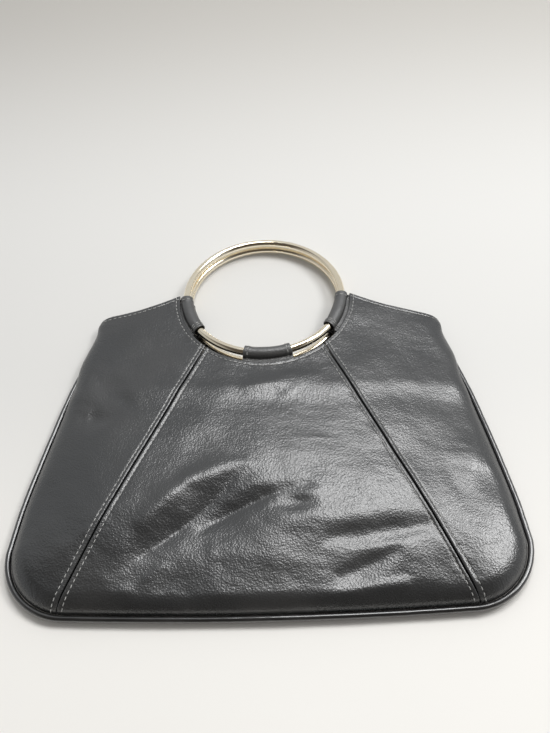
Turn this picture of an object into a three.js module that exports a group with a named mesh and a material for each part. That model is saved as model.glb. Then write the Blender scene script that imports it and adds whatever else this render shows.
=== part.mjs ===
// A ring handle bag of soft faux leather, lying on its back with its handles at the far end.
// Millimetres. +X is to the right, +Y runs up the bag from its bottom edge to the handles, +Z is up.
import * as THREE from "three";

// Body outline
const bagWidth = 336; // across the piping where the bag is widest
const cornerRadius = 45; // of the two round bottom corners
const bottomBow = 3; // the bottom edge bows down by this between them
const shoulderDrop = 21.7; // from the handle centre down to the shoulder corners
const shoulderSkew = 4; // the left corner lies this much higher and the right one lower
const shoulderSag = 3; // hollow of each shoulder edge
const bodyLean = 2.5; // the shoulders lie this much to the right of the bottom edge's middle
const seamFoot = 128.5; // from the middle to where a slanting seam meets the bottom edge
const seamAngle = 48.5; // where that seam meets the mouth, in degrees below level

// Leather and how high it lies
const leather = 1.6; // wall of every panel
const seamHeight = 5; // of the seam round the edge, above the ground
const rollWidth = 12; // the front panels roll down to that seam over this width
const rollRise = 8; // and rise by this there
const crownWidth = 80; // beyond the roll they go on rising over this width
const crownRise = 9;
const backCurl = 10; // the back panels curl up to the seam over this width
const seamSink = 0.9; // panel edges turn down by this along a slanting seam
const seamSinkWidth = 2.4;

// Piping
const pipingDiameter = 4;

// Handles
const ringRadius = 60.5; // to the middle of the wire
const ringWire = 5.75; // diameter of the wire
const ringUp = 255.3; // handle centre above the bottom edge
const ringAside = 0.5; // the front handle has slipped this much to the left
const ringsApart = 9.45; // between the two handle centres
const frontRingRise = 3.25; // its near end lies this much higher than its centre
const backRingRise = 1;

// Mouth, an arc round the handles
const mouthGap = 5.7; // from the middle of the wire to the leather edge
const mouthDrop = 2.9; // the arc is centred this much below the handle centre
const mouthRise = 2; // the arc ends this many degrees above its centre
const mouthSkew = 1; // one more on the left and one less on the right

// Sleeves that hold the handles
const sleeveLeather = 1.1;
const sleeveSlack = 0.5; // how much wider than the wire the loop is, to each side
const sleeveNeck = 0.3; // the two plies meet this far outside the loop
const sleeveTail = 12; // how far the sewn end reaches in behind the mouth edge
const sideSleeve = 36; // length along the wire
const sideSleeveTop = 2; // starts this many degrees below level
const centerSleeve = 35;
const centerSleeveTurn = 2.4; // degrees off the middle, to the right

// Clearances between pieces
const seamGap = 0.4;
const pipingClearance = 0.6;
const wireClearance = 0.35;
const tailClearance = 0.5;
const groundClearance = 0.25;

// How the panels and sleeves are laid out
const onEdge = 0.3; // a place closer than this to an outline counts as on it
const coverStart = 0.35; // the front rises over the piping first, then spreads over it
const rollMost = 0.4; // most of a side panel's width that its roll takes in the narrow tip
const turnMost = 0.1; // and its turned edge along the slanting seam
const loopFrom = -22; // degrees round the wire from where the loop's outside starts, outwards
const loopTo = 282;

// How finely the pieces are faceted
const bottomSteps = 12;
const cornerSteps = 12;
const sideSteps = 32;
const centerColumns = 18;
const centerRows = 20;
const sideRows = 16;
const sideColumns = 5;
const backColumns = 4;
const backRows = 10;
const rollSteps = 4;
const wireSides = 12;
const ringSteps = 48;
const pipingSides = 8;
const pipingSteps = 84;
const sleeveSteps = 4;
const loopSteps = 11;
const searchSteps = 40; // between two outline points
const slopeStep = 0.25;
const reachStep = 0.5;
const sameWithin = 1e-3; // corners closer than this are one

// Worked out from the sizes above
const halfWidth = bagWidth / 2;
const bodyHeight = ringUp - shoulderDrop;
const mouthRadius = ringRadius + mouthGap;
const mouthUp = ringUp - mouthDrop;
const wireRadius = ringWire / 2;
const loopHalfHeight = wireRadius + wireClearance + sleeveLeather;
const loopHalfWidth = wireRadius + sleeveSlack + sleeveLeather;
const backRingHeight = loopHalfHeight + groundClearance;
const frontRingHeight = backRingHeight + ringsApart;
const pipingInset = pipingDiameter + pipingClearance;
const edgeBeside = seamHeight + seamGap / 2;
const edgeAbove = seamHeight + pipingDiameter / 2 + pipingClearance;

// Side outline: up is a share of the body height, out a share of half the bag width
const outlineRows = [
  { up: 0.33, out: 0.981 },
  { up: 0.45, out: 0.952 },
  { up: 0.6, out: 0.911 },
  { up: 0.72, out: 0.874 },
  { up: 0.84, out: 0.827 },
  { up: 0.93, out: 0.791 },
  { up: 0.975, out: 0.787 },
  { up: 1, out: 0.775 },
];

// Height of the front by sections: roll and crown are shares of rollRise and crownRise,
// cover says how far the front panel has rolled over the piping, from 0 to 1
const liftRows = [
  { up: 0, roll: 1, crown: 0.85, cover: 0 },
  { up: 0.3, roll: 1, crown: 1, cover: 0 },
  { up: 0.6, roll: 0.95, crown: 0.8, cover: 0 },
  { up: 0.75, roll: 0.84, crown: 0.52, cover: 0.5 },
  { up: 0.86, roll: 0.74, crown: 0.42, cover: 1 },
  { up: 0.95, roll: 0.64, crown: 0.42, cover: 1 },
  { up: 1.1, roll: 0.56, crown: 0.42, cover: 1 },
];

// Folds and dents of the front, each along a line between two places. Across is a share of half
// the bag width, up of the body height, wide of half the bag width, and rise of crownRise.
const foldRows = [
  { name: "long dent", across: -0.49, up: 0.18, toAcross: -0.215, toUp: 0.335, wide: 0.052, rise: -0.34 },
  { name: "its far end", across: -0.215, up: 0.335, toAcross: -0.11, toUp: 0.41, wide: 0.035, rise: -0.14 },
  { name: "its upper rim", across: -0.46, up: 0.26, toAcross: -0.3, toUp: 0.375, wide: 0.05, rise: 0.16 },
  { name: "end of the rim", across: -0.3, up: 0.385, toAcross: -0.08, toUp: 0.43, wide: 0.05, rise: 0.14 },
  { name: "second dent", across: -0.24, up: 0.25, toAcross: 0, toUp: 0.335, wide: 0.036, rise: -0.26 },
  { name: "its shallow end", across: 0, up: 0.335, toAcross: 0.18, toUp: 0.355, wide: 0.028, rise: -0.16 },
  { name: "middle ridge", across: -0.48, up: 0.14, toAcross: -0.26, toUp: 0.22, wide: 0.035, rise: 0.2 },
  { name: "end of ridge", across: -0.26, up: 0.215, toAcross: 0.03, toUp: 0.305, wide: 0.035, rise: 0.2 },
  { name: "short dent", across: 0.04, up: 0.3, toAcross: 0.17, toUp: 0.3, wide: 0.034, rise: -0.14 },
  { name: "bottom bowl", across: -0.2, up: 0.125, toAcross: 0.07, toUp: 0.09, wide: 0.055, rise: -0.22 },
  { name: "bowl rim", across: -0.18, up: 0.19, toAcross: 0.2, toUp: 0.135, wide: 0.04, rise: 0.12 },
  { name: "pinch", across: 0.11, up: 0.03, toAcross: 0.5, toUp: 0.07, wide: 0.03, rise: 0.16 },
  { name: "broad hollow", across: 0.24, up: 0.2, toAcross: 0.6, toUp: 0.23, wide: 0.045, rise: -0.2 },
  { name: "lower hollow", across: 0.27, up: 0.1, toAcross: 0.48, toUp: 0.16, wide: 0.035, rise: -0.13 },
  { name: "mouth ridge", across: -0.07, up: 0.7, toAcross: 0.22, toUp: 0.74, wide: 0.04, rise: 0.08 },
  { name: "left dimple", across: -0.73, up: 0.75, toAcross: -0.6, toUp: 0.67, wide: 0.05, rise: -0.14 },
  { name: "lower dimple", across: -0.75, up: 0.6, toAcross: -0.68, toUp: 0.6, wide: 0.05, rise: -0.14 },
  { name: "right swell", across: 0.82, up: 0.46, toAcross: 0.8, toUp: 0.4, wide: 0.07, rise: 0.14 },
];

const leatherMaterial = { color: 0x2b2d2f, roughness: 0.38, metalness: 0 };
const trimMaterial = { color: 0x1d1e20, roughness: 0.3, metalness: 0 };
const metalMaterial = { color: 0xd9cda9, roughness: 0.18, metalness: 1 };

const radians = THREE.MathUtils.degToRad;
const lerp = THREE.MathUtils.lerp;
const clamp = THREE.MathUtils.clamp;
const smooth = (share) => THREE.MathUtils.smoothstep(share, 0, 1);
const quarter = (share) => Math.sqrt(1 - (1 - clamp(share, 0, 1)) ** 2);

// A column of a table at any height, on a smooth line through its rows
function tableAt(rows, column, up) {
  const last = rows.length - 1;
  let row = 0;
  while (row < last - 1 && up > rows[row + 1].up) row += 1;
  const here = rows[row];
  const next = rows[row + 1];
  const slope = (a, b) => (b[column] - a[column]) / (b.up - a.up);
  const slopeHere = row > 0 ? slope(rows[row - 1], next) : 0;
  const slopeNext = row + 2 <= last ? slope(here, rows[row + 2]) : 0;
  const length = next.up - here.up;
  const t = clamp((up - here.up) / length, 0, 1);
  const rise = t * t * (3 - 2 * t);
  const startBend = t * (1 - t) ** 2 * length;
  const endBend = t * t * (t - 1) * length;
  return lerp(here[column], next[column], rise) + startBend * slopeHere + endBend * slopeNext;
}

// Outline of one half of the bag, from the middle of the bottom edge round to the shoulder corner.
// The side is -1 for the left and 1 for the right.
function halfOutline(side) {
  const flat = halfWidth - cornerRadius;
  const top = bodyHeight - side * shoulderSkew;
  const points = [];
  for (let i = 0; i < bottomSteps; i += 1) {
    const share = i / bottomSteps;
    points.push(new THREE.Vector2(flat * share, bottomBow * share ** 2));
  }
  const cornerUp = bottomBow + cornerRadius;
  for (let i = 0; i <= cornerSteps; i += 1) {
    const angle = (i / cornerSteps) * (Math.PI / 2);
    const x = flat + cornerRadius * Math.sin(angle);
    points.push(new THREE.Vector2(x, cornerUp - cornerRadius * Math.cos(angle)));
  }
  const sideLine = [new THREE.Vector2(halfWidth, cornerUp)];
  outlineRows.forEach((row) => sideLine.push(new THREE.Vector2(halfWidth * row.out, top * row.up)));
  points.push(...new THREE.SplineCurve(sideLine).getPoints(sideSteps).slice(1));
  return points.map((p) => new THREE.Vector2(side * p.x + (bodyLean * p.y) / top, p.y));
}

// The same line moved in by a distance that may change with height
function movedIn(outline, side, inset) {
  return outline.map((point, i) => {
    const before = outline[Math.max(i - 1, 0)];
    const after = outline[Math.min(i + 1, outline.length - 1)];
    const along = after.clone().sub(before).normalize();
    const distance = inset(point.y / bodyHeight);
    return new THREE.Vector2(point.x - side * along.y * distance, point.y + side * along.x * distance);
  });
}

// A line of points that is read by the length along it
class Path {
  constructor(points) {
    this.points = points;
    this.lengths = [0];
    for (let i = 1; i < points.length; i += 1) {
      this.lengths.push(this.lengths[i - 1] + points[i].distanceTo(points[i - 1]));
    }
    this.length = this.lengths[points.length - 1];
  }

  at(length) {
    let i = 1;
    while (i < this.points.length - 1 && this.lengths[i] < length) i += 1;
    const share = (length - this.lengths[i - 1]) / (this.lengths[i] - this.lengths[i - 1]);
    return this.points[i - 1].clone().lerp(this.points[i], clamp(share, 0, 1));
  }

  lengthWhere(test) {
    const found = this.points.findIndex(test);
    const before = this.points[found - 1];
    for (let i = 0; i <= searchSteps; i += 1) {
      const point = before.clone().lerp(this.points[found], i / searchSteps);
      if (test(point)) return this.lengths[found - 1] + point.distanceTo(before);
    }
    return this.lengths[found];
  }
}

const coverAt = (up) => clamp(tableAt(liftRows, "cover", clamp(up, 0, 1.1)), 0, 1);
const spreadAt = (up) => smooth((coverAt(up) - coverStart) / (1 - coverStart));
const frontInset = (up) => lerp(pipingInset, 0, spreadAt(up));
const frontEdge = (up) => lerp(edgeBeside, edgeAbove, smooth(coverAt(up) / coverStart));

const sides = { left: -1, right: 1 };
const outlines = { front: {}, back: {}, piping: {} };
for (const [name, side] of Object.entries(sides)) {
  const outer = halfOutline(side);
  outlines.front[name] = new Path(movedIn(outer, side, frontInset));
  outlines.back[name] = new Path(movedIn(outer, side, () => pipingInset));
  outlines.piping[name] = movedIn(outer, side, () => pipingDiameter / 2);
}

// The closest point of a panel's outline, as a distance and the way in from it
function fromEdge(panels, x, y) {
  const place = new THREE.Vector2(x, y);
  const name = x < 0 ? "left" : "right";
  const points = outlines[panels][name].points;
  let nearest = points[0];
  let distance = Infinity;
  let square = new THREE.Vector2();
  for (let i = 1; i < points.length; i += 1) {
    const start = points[i - 1];
    const along = points[i].clone().sub(start);
    const share = clamp(place.clone().sub(start).dot(along) / along.lengthSq(), 0, 1);
    const point = start.clone().addScaledVector(along, share);
    const here = point.distanceTo(place);
    if (here < distance) {
      distance = here;
      nearest = point;
      square = new THREE.Vector2(-along.y, along.x).multiplyScalar(sides[name]);
    }
  }
  const inwards = distance > onEdge ? place.sub(nearest) : square;
  return { distance, inwards: inwards.normalize() };
}

const mouthPoint = (degrees) =>
  new THREE.Vector2(
    mouthRadius * Math.cos(radians(degrees)),
    mouthUp + mouthRadius * Math.sin(radians(degrees)),
  );

// The slanting seam of each side, from the bottom edge to the mouth
const seams = {};
for (const [name, side] of Object.entries(sides)) {
  const path = outlines.front[name];
  const top = mouthPoint(-seamAngle);
  top.x *= side;
  const foot = path.at(path.lengthWhere((p) => Math.abs(p.x) >= seamFoot));
  seams[name] = { foot, top };
}

function fromSeam(x, y) {
  const { foot, top } = seams[x < 0 ? "left" : "right"];
  const along = top.clone().sub(foot).normalize();
  return Math.abs((x - foot.x) * along.y - (y - foot.y) * along.x);
}

// How much the folds and dents raise or lower the front at a place
function foldsAt(x, y) {
  const place = new THREE.Vector2(x, y);
  let total = 0;
  for (const fold of foldRows) {
    const start = new THREE.Vector2(fold.across * halfWidth, fold.up * bodyHeight);
    const end = new THREE.Vector2(fold.toAcross * halfWidth, fold.toUp * bodyHeight);
    const along = end.clone().sub(start);
    const share = clamp(place.clone().sub(start).dot(along) / along.lengthSq(), 0, 1);
    const distance = start.addScaledVector(along, share).distanceTo(place);
    total += fold.rise * Math.exp(-((distance / (fold.wide * halfWidth)) ** 2));
  }
  return total * crownRise;
}

// Height of the outer face of the front and of the back, at a place on the bag
function frontHeight(x, y) {
  const up = clamp(y / bodyHeight, 0, 1.1);
  const { distance } = fromEdge("front", x, y);
  const roll = rollRise * tableAt(liftRows, "roll", up) * quarter(distance / rollWidth);
  const across = clamp(distance / crownWidth, 0, 1);
  const crown = crownRise * tableAt(liftRows, "crown", up) * (1 - (1 - across) ** 2);
  const folds = foldsAt(x, y) * smooth(distance / rollWidth);
  const besideSeam = (1 - clamp(fromSeam(x, y) / seamSinkWidth, 0, 1)) ** 2;
  const sink = seamSink * besideSeam * smooth(distance / rollWidth);
  return frontEdge(up) + roll + crown + folds - sink;
}

function backHeight(x, y) {
  const { distance } = fromEdge("back", x, y);
  return (seamHeight - seamGap / 2) * (1 - quarter(distance / backCurl));
}

// How much each height changes across and up the bag
function slopeOf(height, x, y) {
  return new THREE.Vector2(
    (height(x + slopeStep, y) - height(x - slopeStep, y)) / (2 * slopeStep),
    (height(x, y + slopeStep) - height(x, y - slopeStep)) / (2 * slopeStep),
  );
}

// Both faces of a panel's wall at a place: the outer one, and the inner one a wall further in
function wallAt(panels, place) {
  const height = panels === "front" ? frontHeight : backHeight;
  const inner = panels === "front" ? -leather : leather;
  const { distance, inwards } = fromEdge(panels, place.x, place.y);
  const outer = new THREE.Vector3(place.x, place.y, height(place.x, place.y));
  if (distance < onEdge) {
    const across = new THREE.Vector3(inwards.x, inwards.y, 0);
    return { outer, inner: outer.clone().addScaledVector(across, leather) };
  }
  const slope = slopeOf(height, place.x, place.y);
  const normal = new THREE.Vector3(-slope.x, -slope.y, 1).normalize();
  return { outer, inner: outer.clone().addScaledVector(normal, inner) };
}

// A closed geometry from triangles of points. Corners that meet are one, and flat ones are left out.
function closedGeometry(triangles) {
  const keys = new Map();
  const positions = [];
  const indexOf = (point) => {
    const key = point.toArray().map((value) => Math.round(value / sameWithin)).join();
    if (!keys.has(key)) {
      keys.set(key, positions.length / 3);
      positions.push(...point.toArray());
    }
    return keys.get(key);
  };
  const indices = [];
  for (const triangle of triangles) {
    const [a, b, c] = triangle.map(indexOf);
    if (a !== b && b !== c && c !== a) indices.push(a, b, c);
  }
  const geometry = new THREE.BufferGeometry();
  geometry.setAttribute("position", new THREE.Float32BufferAttribute(positions, 3));
  geometry.setIndex(indices);
  geometry.computeVertexNormals();
  return geometry;
}

// A wall between two grids of points, closed along its border
function wallGeometry(grid, flip) {
  const triangles = [];
  const quad = (a, b, c, d) => {
    if (flip) triangles.push([a, c, b], [a, d, c]);
    else triangles.push([a, b, c], [a, c, d]);
  };
  const rows = grid.length - 1;
  const columns = grid[0].length - 1;
  for (let row = 0; row < rows; row += 1) {
    for (let column = 0; column < columns; column += 1) {
      const near = [grid[row][column], grid[row][column + 1]];
      const far = [grid[row + 1][column + 1], grid[row + 1][column]];
      quad(near[0].outer, near[1].outer, far[0].outer, far[1].outer);
      quad(near[1].inner, near[0].inner, far[1].inner, far[0].inner);
    }
  }
  const border = (a, b) => quad(a.inner, b.inner, b.outer, a.outer);
  for (let column = 0; column < columns; column += 1) {
    border(grid[0][column], grid[0][column + 1]);
    border(grid[rows][column + 1], grid[rows][column]);
  }
  for (let row = 0; row < rows; row += 1) {
    border(grid[row][columns], grid[row + 1][columns]);
    border(grid[row + 1][0], grid[row][0]);
  }
  return closedGeometry(triangles);
}

// Distances in from a rolled edge at which its quarter turn is cut into facets
function rollStations(width) {
  const turn = Math.PI / 2 / rollSteps;
  return Array.from({ length: rollSteps + 1 }, (_, i) => width * (1 - Math.cos(i * turn)));
}

// Shares from the bottom edge to the mouth, closer together over the rolled edge
function rowShares(length, width, rows) {
  const edge = rollStations(width).map((distance) => distance / length);
  const start = edge[rollSteps];
  const rest = Array.from({ length: rows }, (_, i) => lerp(start, 1, (i + 1) / rows));
  return [...edge, ...rest];
}

// A point between four edge lines, each a function of a share
function between(edges, u, v) {
  const { bottom, top, start, end } = edges;
  const rows = bottom(u).multiplyScalar(1 - v).addScaledVector(top(u), v);
  const columns = start(v).multiplyScalar(1 - u).addScaledVector(end(v), u);
  const near = bottom(0).multiplyScalar(1 - u).addScaledVector(bottom(1), u);
  const far = top(0).multiplyScalar(1 - u).addScaledVector(top(1), u);
  return rows.add(columns).sub(near.multiplyScalar(1 - v).addScaledVector(far, v));
}

// A seam line on one side of the seam, half the gap away from it
function seamLine(panels, name, outwards) {
  const side = sides[name];
  const path = outlines[panels][name];
  const aside = (outwards * seamGap) / 2;
  const foot = path.at(path.lengthWhere((p) => Math.abs(p.x) >= seamFoot + aside));
  const top = seams[name].top.clone();
  top.x += side * aside;
  top.y = mouthUp - Math.sqrt(mouthRadius ** 2 - top.x ** 2);
  return (v) => foot.clone().lerp(top, v);
}

function centerPanel(panels, columns, rows, width) {
  const left = seamLine(panels, "left", -1);
  const right = seamLine(panels, "right", -1);
  const halves = { left: outlines[panels].left, right: outlines[panels].right };
  const footOf = (path) => path.lengthWhere((p) => Math.abs(p.x) >= seamFoot - seamGap / 2);
  const feet = { left: footOf(halves.left), right: footOf(halves.right) };
  const bottom = (u) =>
    u < 0.5
      ? halves.left.at(feet.left * (1 - 2 * u))
      : halves.right.at(feet.right * (2 * u - 1));
  const topAngle = (point) => THREE.MathUtils.radToDeg(Math.atan2(point.y - mouthUp, point.x));
  const top = (u) => mouthPoint(lerp(topAngle(left(1)), topAngle(right(1)), u));
  const edges = { bottom, top, start: left, end: right };
  const length = left(0).distanceTo(left(1));
  return rowShares(length, width, rows).map((v) => {
    const across = left(v).distanceTo(right(v));
    const turned = seamSinkWidth / across;
    const shares = [0];
    for (let i = 0; i <= columns; i += 1) shares.push(lerp(turned, 1 - turned, i / columns));
    shares.push(1);
    return shares.map((u) => wallAt(panels, between(edges, u, v)));
  });
}

// The upper edge of a side panel: the mouth arc to its corner, then the shoulder
function shoulderEdge(panels, name, start) {
  const side = sides[name];
  const endAngle = mouthRise - side * mouthSkew;
  const corner = mouthPoint(endAngle);
  const shoulder = outlines[panels][name].points.at(-1);
  const startAngle = THREE.MathUtils.radToDeg(Math.atan2(start.y - mouthUp, Math.abs(start.x)));
  return (u) => {
    if (u <= 0.5) {
      const point = mouthPoint(lerp(startAngle, endAngle, u * 2));
      point.x *= side;
      return point;
    }
    const share = u * 2 - 1;
    const x = lerp(side * corner.x, shoulder.x, share);
    const y = lerp(corner.y, shoulder.y, share);
    return new THREE.Vector2(x, y - shoulderSag * Math.sin(Math.PI * share));
  };
}

function sidePanel(panels, name, columns, rows, width) {
  const start = seamLine(panels, name, 1);
  const path = outlines[panels][name];
  const foot = path.lengthWhere((p) => Math.abs(p.x) >= seamFoot + seamGap / 2);
  const end = (v) => path.at(lerp(foot, path.length, v));
  const edges = { bottom: () => start(0), top: shoulderEdge(panels, name, start(1)), start, end };
  const length = start(0).distanceTo(start(1));
  const edge = rollStations(1).reverse();
  return rowShares(length, width, rows).map((v) => {
    const across = Math.max(start(v).distanceTo(end(v)), 1e-6);
    const rolled = Math.min(width / across, rollMost);
    const turned = Math.min(seamSinkWidth / across, turnMost);
    const shares = [0];
    for (let i = 0; i <= columns; i += 1) shares.push(lerp(turned, 0.5, i / columns));
    for (let i = 1; i < columns; i += 1) shares.push(lerp(0.5, 1 - rolled, i / columns));
    edge.forEach((distance) => shares.push(1 - rolled * distance));
    return shares.map((u) => wallAt(panels, between(edges, u, v)));
  });
}

// Middle of a handle's wire at an angle, and the height of its plane there
function wireAt(ring, degrees) {
  const angle = radians(degrees);
  const tilt = Math.asin(ring.rise / ringRadius);
  return new THREE.Vector3(
    ring.x + ringRadius * Math.cos(angle),
    ringUp + ringRadius * Math.sin(angle) * Math.cos(tilt),
    ring.z - ringRadius * Math.sin(angle) * Math.sin(tilt),
  );
}

const rings = {
  front: { x: -ringAside, z: frontRingHeight, rise: frontRingRise },
  back: { x: 0, z: backRingHeight, rise: backRingRise },
};

// Height of the middle of a sleeve's sewn end, between its panel and the hollow of the bag
function tailHeight(panels, x, y) {
  const height = panels === "front" ? frontHeight : backHeight;
  const slope = slopeOf(height, x, y).length();
  const wall = leather * Math.sqrt(1 + slope ** 2);
  const away = wall + tailClearance + sleeveLeather;
  return panels === "front" ? height(x, y) - away : height(x, y) + away;
}

// Distance from the handle centre along a ray to where the sewn end has to stop under the shoulder
function tailReach(ring, degrees) {
  const edge = mouthRadius + sleeveTail - mouthDrop * Math.sin(radians(degrees));
  const side = Math.cos(radians(degrees)) < 0 ? "left" : "right";
  const steep = Math.abs(Math.sin(radians(degrees)));
  const shoulder = shoulderEdge("front", side, mouthPoint(-seamAngle));
  const start = ringRadius + loopHalfWidth + sleeveLeather;
  if (steep > Math.sin(radians(seamAngle))) return edge;
  for (let reach = edge; reach > start; reach -= reachStep) {
    const x = ring.x + reach * Math.cos(radians(degrees));
    const y = ringUp + reach * Math.sin(radians(degrees));
    const corner = Math.abs(shoulder(0.5).x);
    const share = (Math.abs(x) - corner) / (Math.abs(shoulder(1).x) - corner);
    if (share < 0 || y < shoulder(0.5 + share / 2).y - sleeveLeather) return reach;
  }
  return start;
}

// A leather loop round the wire, whose two plies go in behind the mouth edge as one sewn end
function sleeveGeometry(panels, from, to) {
  const ring = rings[panels];
  const sections = [];
  for (let i = 0; i <= sleeveSteps; i += 1) {
    const degrees = lerp(from, to, i / sleeveSteps);
    const wire = wireAt(ring, degrees);
    const out = new THREE.Vector3(Math.cos(radians(degrees)), Math.sin(radians(degrees)), 0);
    const point = (radial) => wire.clone().addScaledVector(out, radial);
    const oval = (angle, width, height) => {
      const place = point(width * Math.cos(radians(angle)));
      return place.setZ(wire.z + height * Math.sin(radians(angle)));
    };
    const outer = [];
    for (let step = 0; step <= loopSteps; step += 1) {
      outer.push(oval(lerp(loopFrom, loopTo, step / loopSteps), loopHalfWidth, loopHalfHeight));
    }
    const reach = tailReach(ring, degrees) - ringRadius;
    const neck = loopHalfWidth + sleeveNeck;
    for (const [radial, ply] of [[neck, -1], [reach, -1], [reach, 1], [neck, 1]]) {
      const place = point(radial);
      outer.push(place.setZ(tailHeight(panels, place.x, place.y) + ply * sleeveLeather));
    }
    const inner = [];
    for (let turn = 0; turn < wireSides; turn += 1) {
      const angle = (turn / wireSides) * 360;
      inner.push(oval(angle, loopHalfWidth - sleeveLeather, loopHalfHeight - sleeveLeather));
    }
    sections.push({ outer, inner, wire, out });
  }
  return sweptGeometry(sections);
}

// A closed body through sections that each have an outer line and a hole
function sweptGeometry(sections) {
  const triangles = [];
  const skin = (line, flip) => {
    for (let i = 0; i + 1 < sections.length; i += 1) {
      const here = sections[i][line];
      const next = sections[i + 1][line];
      here.forEach((point, k) => {
        const after = (k + 1) % here.length;
        const corners = [point, here[after], next[after], next[k]];
        if (flip) corners.reverse();
        const [a, b, c, d] = corners;
        triangles.push([a, b, c], [a, c, d]);
      });
    }
  };
  skin("outer", true);
  skin("inner", false);
  for (const [section, flip] of [[sections[0], false], [sections.at(-1), true]]) {
    const flat = (points) =>
      points.map((p) => new THREE.Vector2(p.clone().sub(section.wire).dot(section.out), p.z));
    const all = [...section.outer, ...section.inner];
    const cap = THREE.ShapeUtils.triangulateShape(flat(section.outer), [flat(section.inner)]);
    for (const [a, b, c] of cap) {
      triangles.push(flip ? [all[a], all[c], all[b]] : [all[a], all[b], all[c]]);
    }
  }
  return closedGeometry(triangles);
}

function pipingGeometry() {
  const line = [...outlines.piping.left.toReversed(), ...outlines.piping.right.slice(1)];
  const route = new THREE.CatmullRomCurve3(line.map((p) => new THREE.Vector3(p.x, p.y, seamHeight)));
  const section = new THREE.Shape();
  for (let i = 0; i < pipingSides; i += 1) {
    const angle = ((i + 0.5) / pipingSides) * 2 * Math.PI;
    const x = (pipingDiameter / 2) * Math.cos(angle);
    const y = (pipingDiameter / 2) * Math.sin(angle);
    if (i === 0) section.moveTo(x, y);
    else section.lineTo(x, y);
  }
  section.closePath();
  const settings = { steps: pipingSteps, bevelEnabled: false, extrudePath: route };
  return new THREE.ExtrudeGeometry(section, settings);
}

function addMesh(group, name, geometry, look) {
  const mesh = new THREE.Mesh(geometry, new THREE.MeshStandardMaterial(look));
  mesh.name = name;
  group.add(mesh);
  return mesh;
}

// Body
const body = new THREE.Group();
const faces = {
  front: {
    columns: centerColumns,
    rows: centerRows,
    sideColumns,
    sideRows,
    width: rollWidth,
  },
  back: {
    columns: backColumns * 2,
    rows: backRows,
    sideColumns: backColumns - 1,
    sideRows: backRows,
    width: backCurl,
  },
};
for (const [panels, face] of Object.entries(faces)) {
  const down = panels === "back";
  const center = centerPanel(panels, face.columns, face.rows, face.width);
  addMesh(body, `${panels}_center_panel`, wallGeometry(center, down), leatherMaterial);
  for (const [name, side] of Object.entries(sides)) {
    const grid = sidePanel(panels, name, face.sideColumns, face.sideRows, face.width);
    addMesh(body, `${panels}_${name}_panel`, wallGeometry(grid, down !== (side < 0)), leatherMaterial);
  }
}
addMesh(body, "piping", pipingGeometry(), trimMaterial);

// Handles and the sleeves that hold them
const handles = new THREE.Group();
const sideArc = THREE.MathUtils.radToDeg(sideSleeve / ringRadius);
const centerArc = THREE.MathUtils.radToDeg(centerSleeve / ringRadius);
const centerMiddle = -90 + centerSleeveTurn;
const sleeveRows = [
  { name: "left", from: 180 + sideSleeveTop, to: 180 + sideSleeveTop + sideArc },
  { name: "center", from: centerMiddle - centerArc / 2, to: centerMiddle + centerArc / 2 },
  { name: "right", from: -sideSleeveTop - sideArc, to: -sideSleeveTop },
];
for (const [panels, ring] of Object.entries(rings)) {
  const torus = new THREE.TorusGeometry(ringRadius, wireRadius, wireSides, ringSteps);
  const wire = addMesh(handles, `${panels}_ring`, torus, metalMaterial);
  wire.position.set(ring.x, ringUp, ring.z);
  wire.rotation.x = -Math.asin(ring.rise / ringRadius);
  for (const { name, from, to } of sleeveRows) {
    const sleeve = sleeveGeometry(panels, from, to);
    addMesh(handles, `${panels}_${name}_sleeve`, sleeve, leatherMaterial);
  }
}

// The origin is on the ground under the middle of the whole bag
const bag = new THREE.Group();
bag.add(body, handles);
const bounds = new THREE.Box3().setFromObject(bag, true);
bag.position.set(
  -(bounds.min.x + bounds.max.x) / 2,
  -(bounds.min.y + bounds.max.y) / 2,
  -bounds.min.z,
);
const part = new THREE.Group();
part.name = "ring_handle_bag";
part.add(bag);

export default part;
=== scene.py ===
# A soft black handbag with two round gilt handles, lying on its back. Metres, z up.
import math

import bmesh
import bpy
import numpy as np
from mathutils import Matrix, Vector


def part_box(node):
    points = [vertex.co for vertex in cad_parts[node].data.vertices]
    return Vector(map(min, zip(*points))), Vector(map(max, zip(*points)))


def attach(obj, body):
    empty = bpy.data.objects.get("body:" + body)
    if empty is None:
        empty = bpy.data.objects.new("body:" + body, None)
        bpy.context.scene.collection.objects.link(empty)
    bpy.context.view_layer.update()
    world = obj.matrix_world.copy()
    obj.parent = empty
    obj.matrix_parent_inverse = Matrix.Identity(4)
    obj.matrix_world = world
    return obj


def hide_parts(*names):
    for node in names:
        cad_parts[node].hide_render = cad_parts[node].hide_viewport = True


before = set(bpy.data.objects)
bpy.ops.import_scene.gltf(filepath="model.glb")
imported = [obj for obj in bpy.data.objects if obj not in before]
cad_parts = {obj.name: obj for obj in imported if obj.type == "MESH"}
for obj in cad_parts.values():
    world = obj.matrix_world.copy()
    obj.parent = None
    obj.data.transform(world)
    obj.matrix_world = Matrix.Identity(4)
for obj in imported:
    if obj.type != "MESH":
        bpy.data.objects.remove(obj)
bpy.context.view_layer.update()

mm = 0.001
print("frame loaded")

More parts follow.
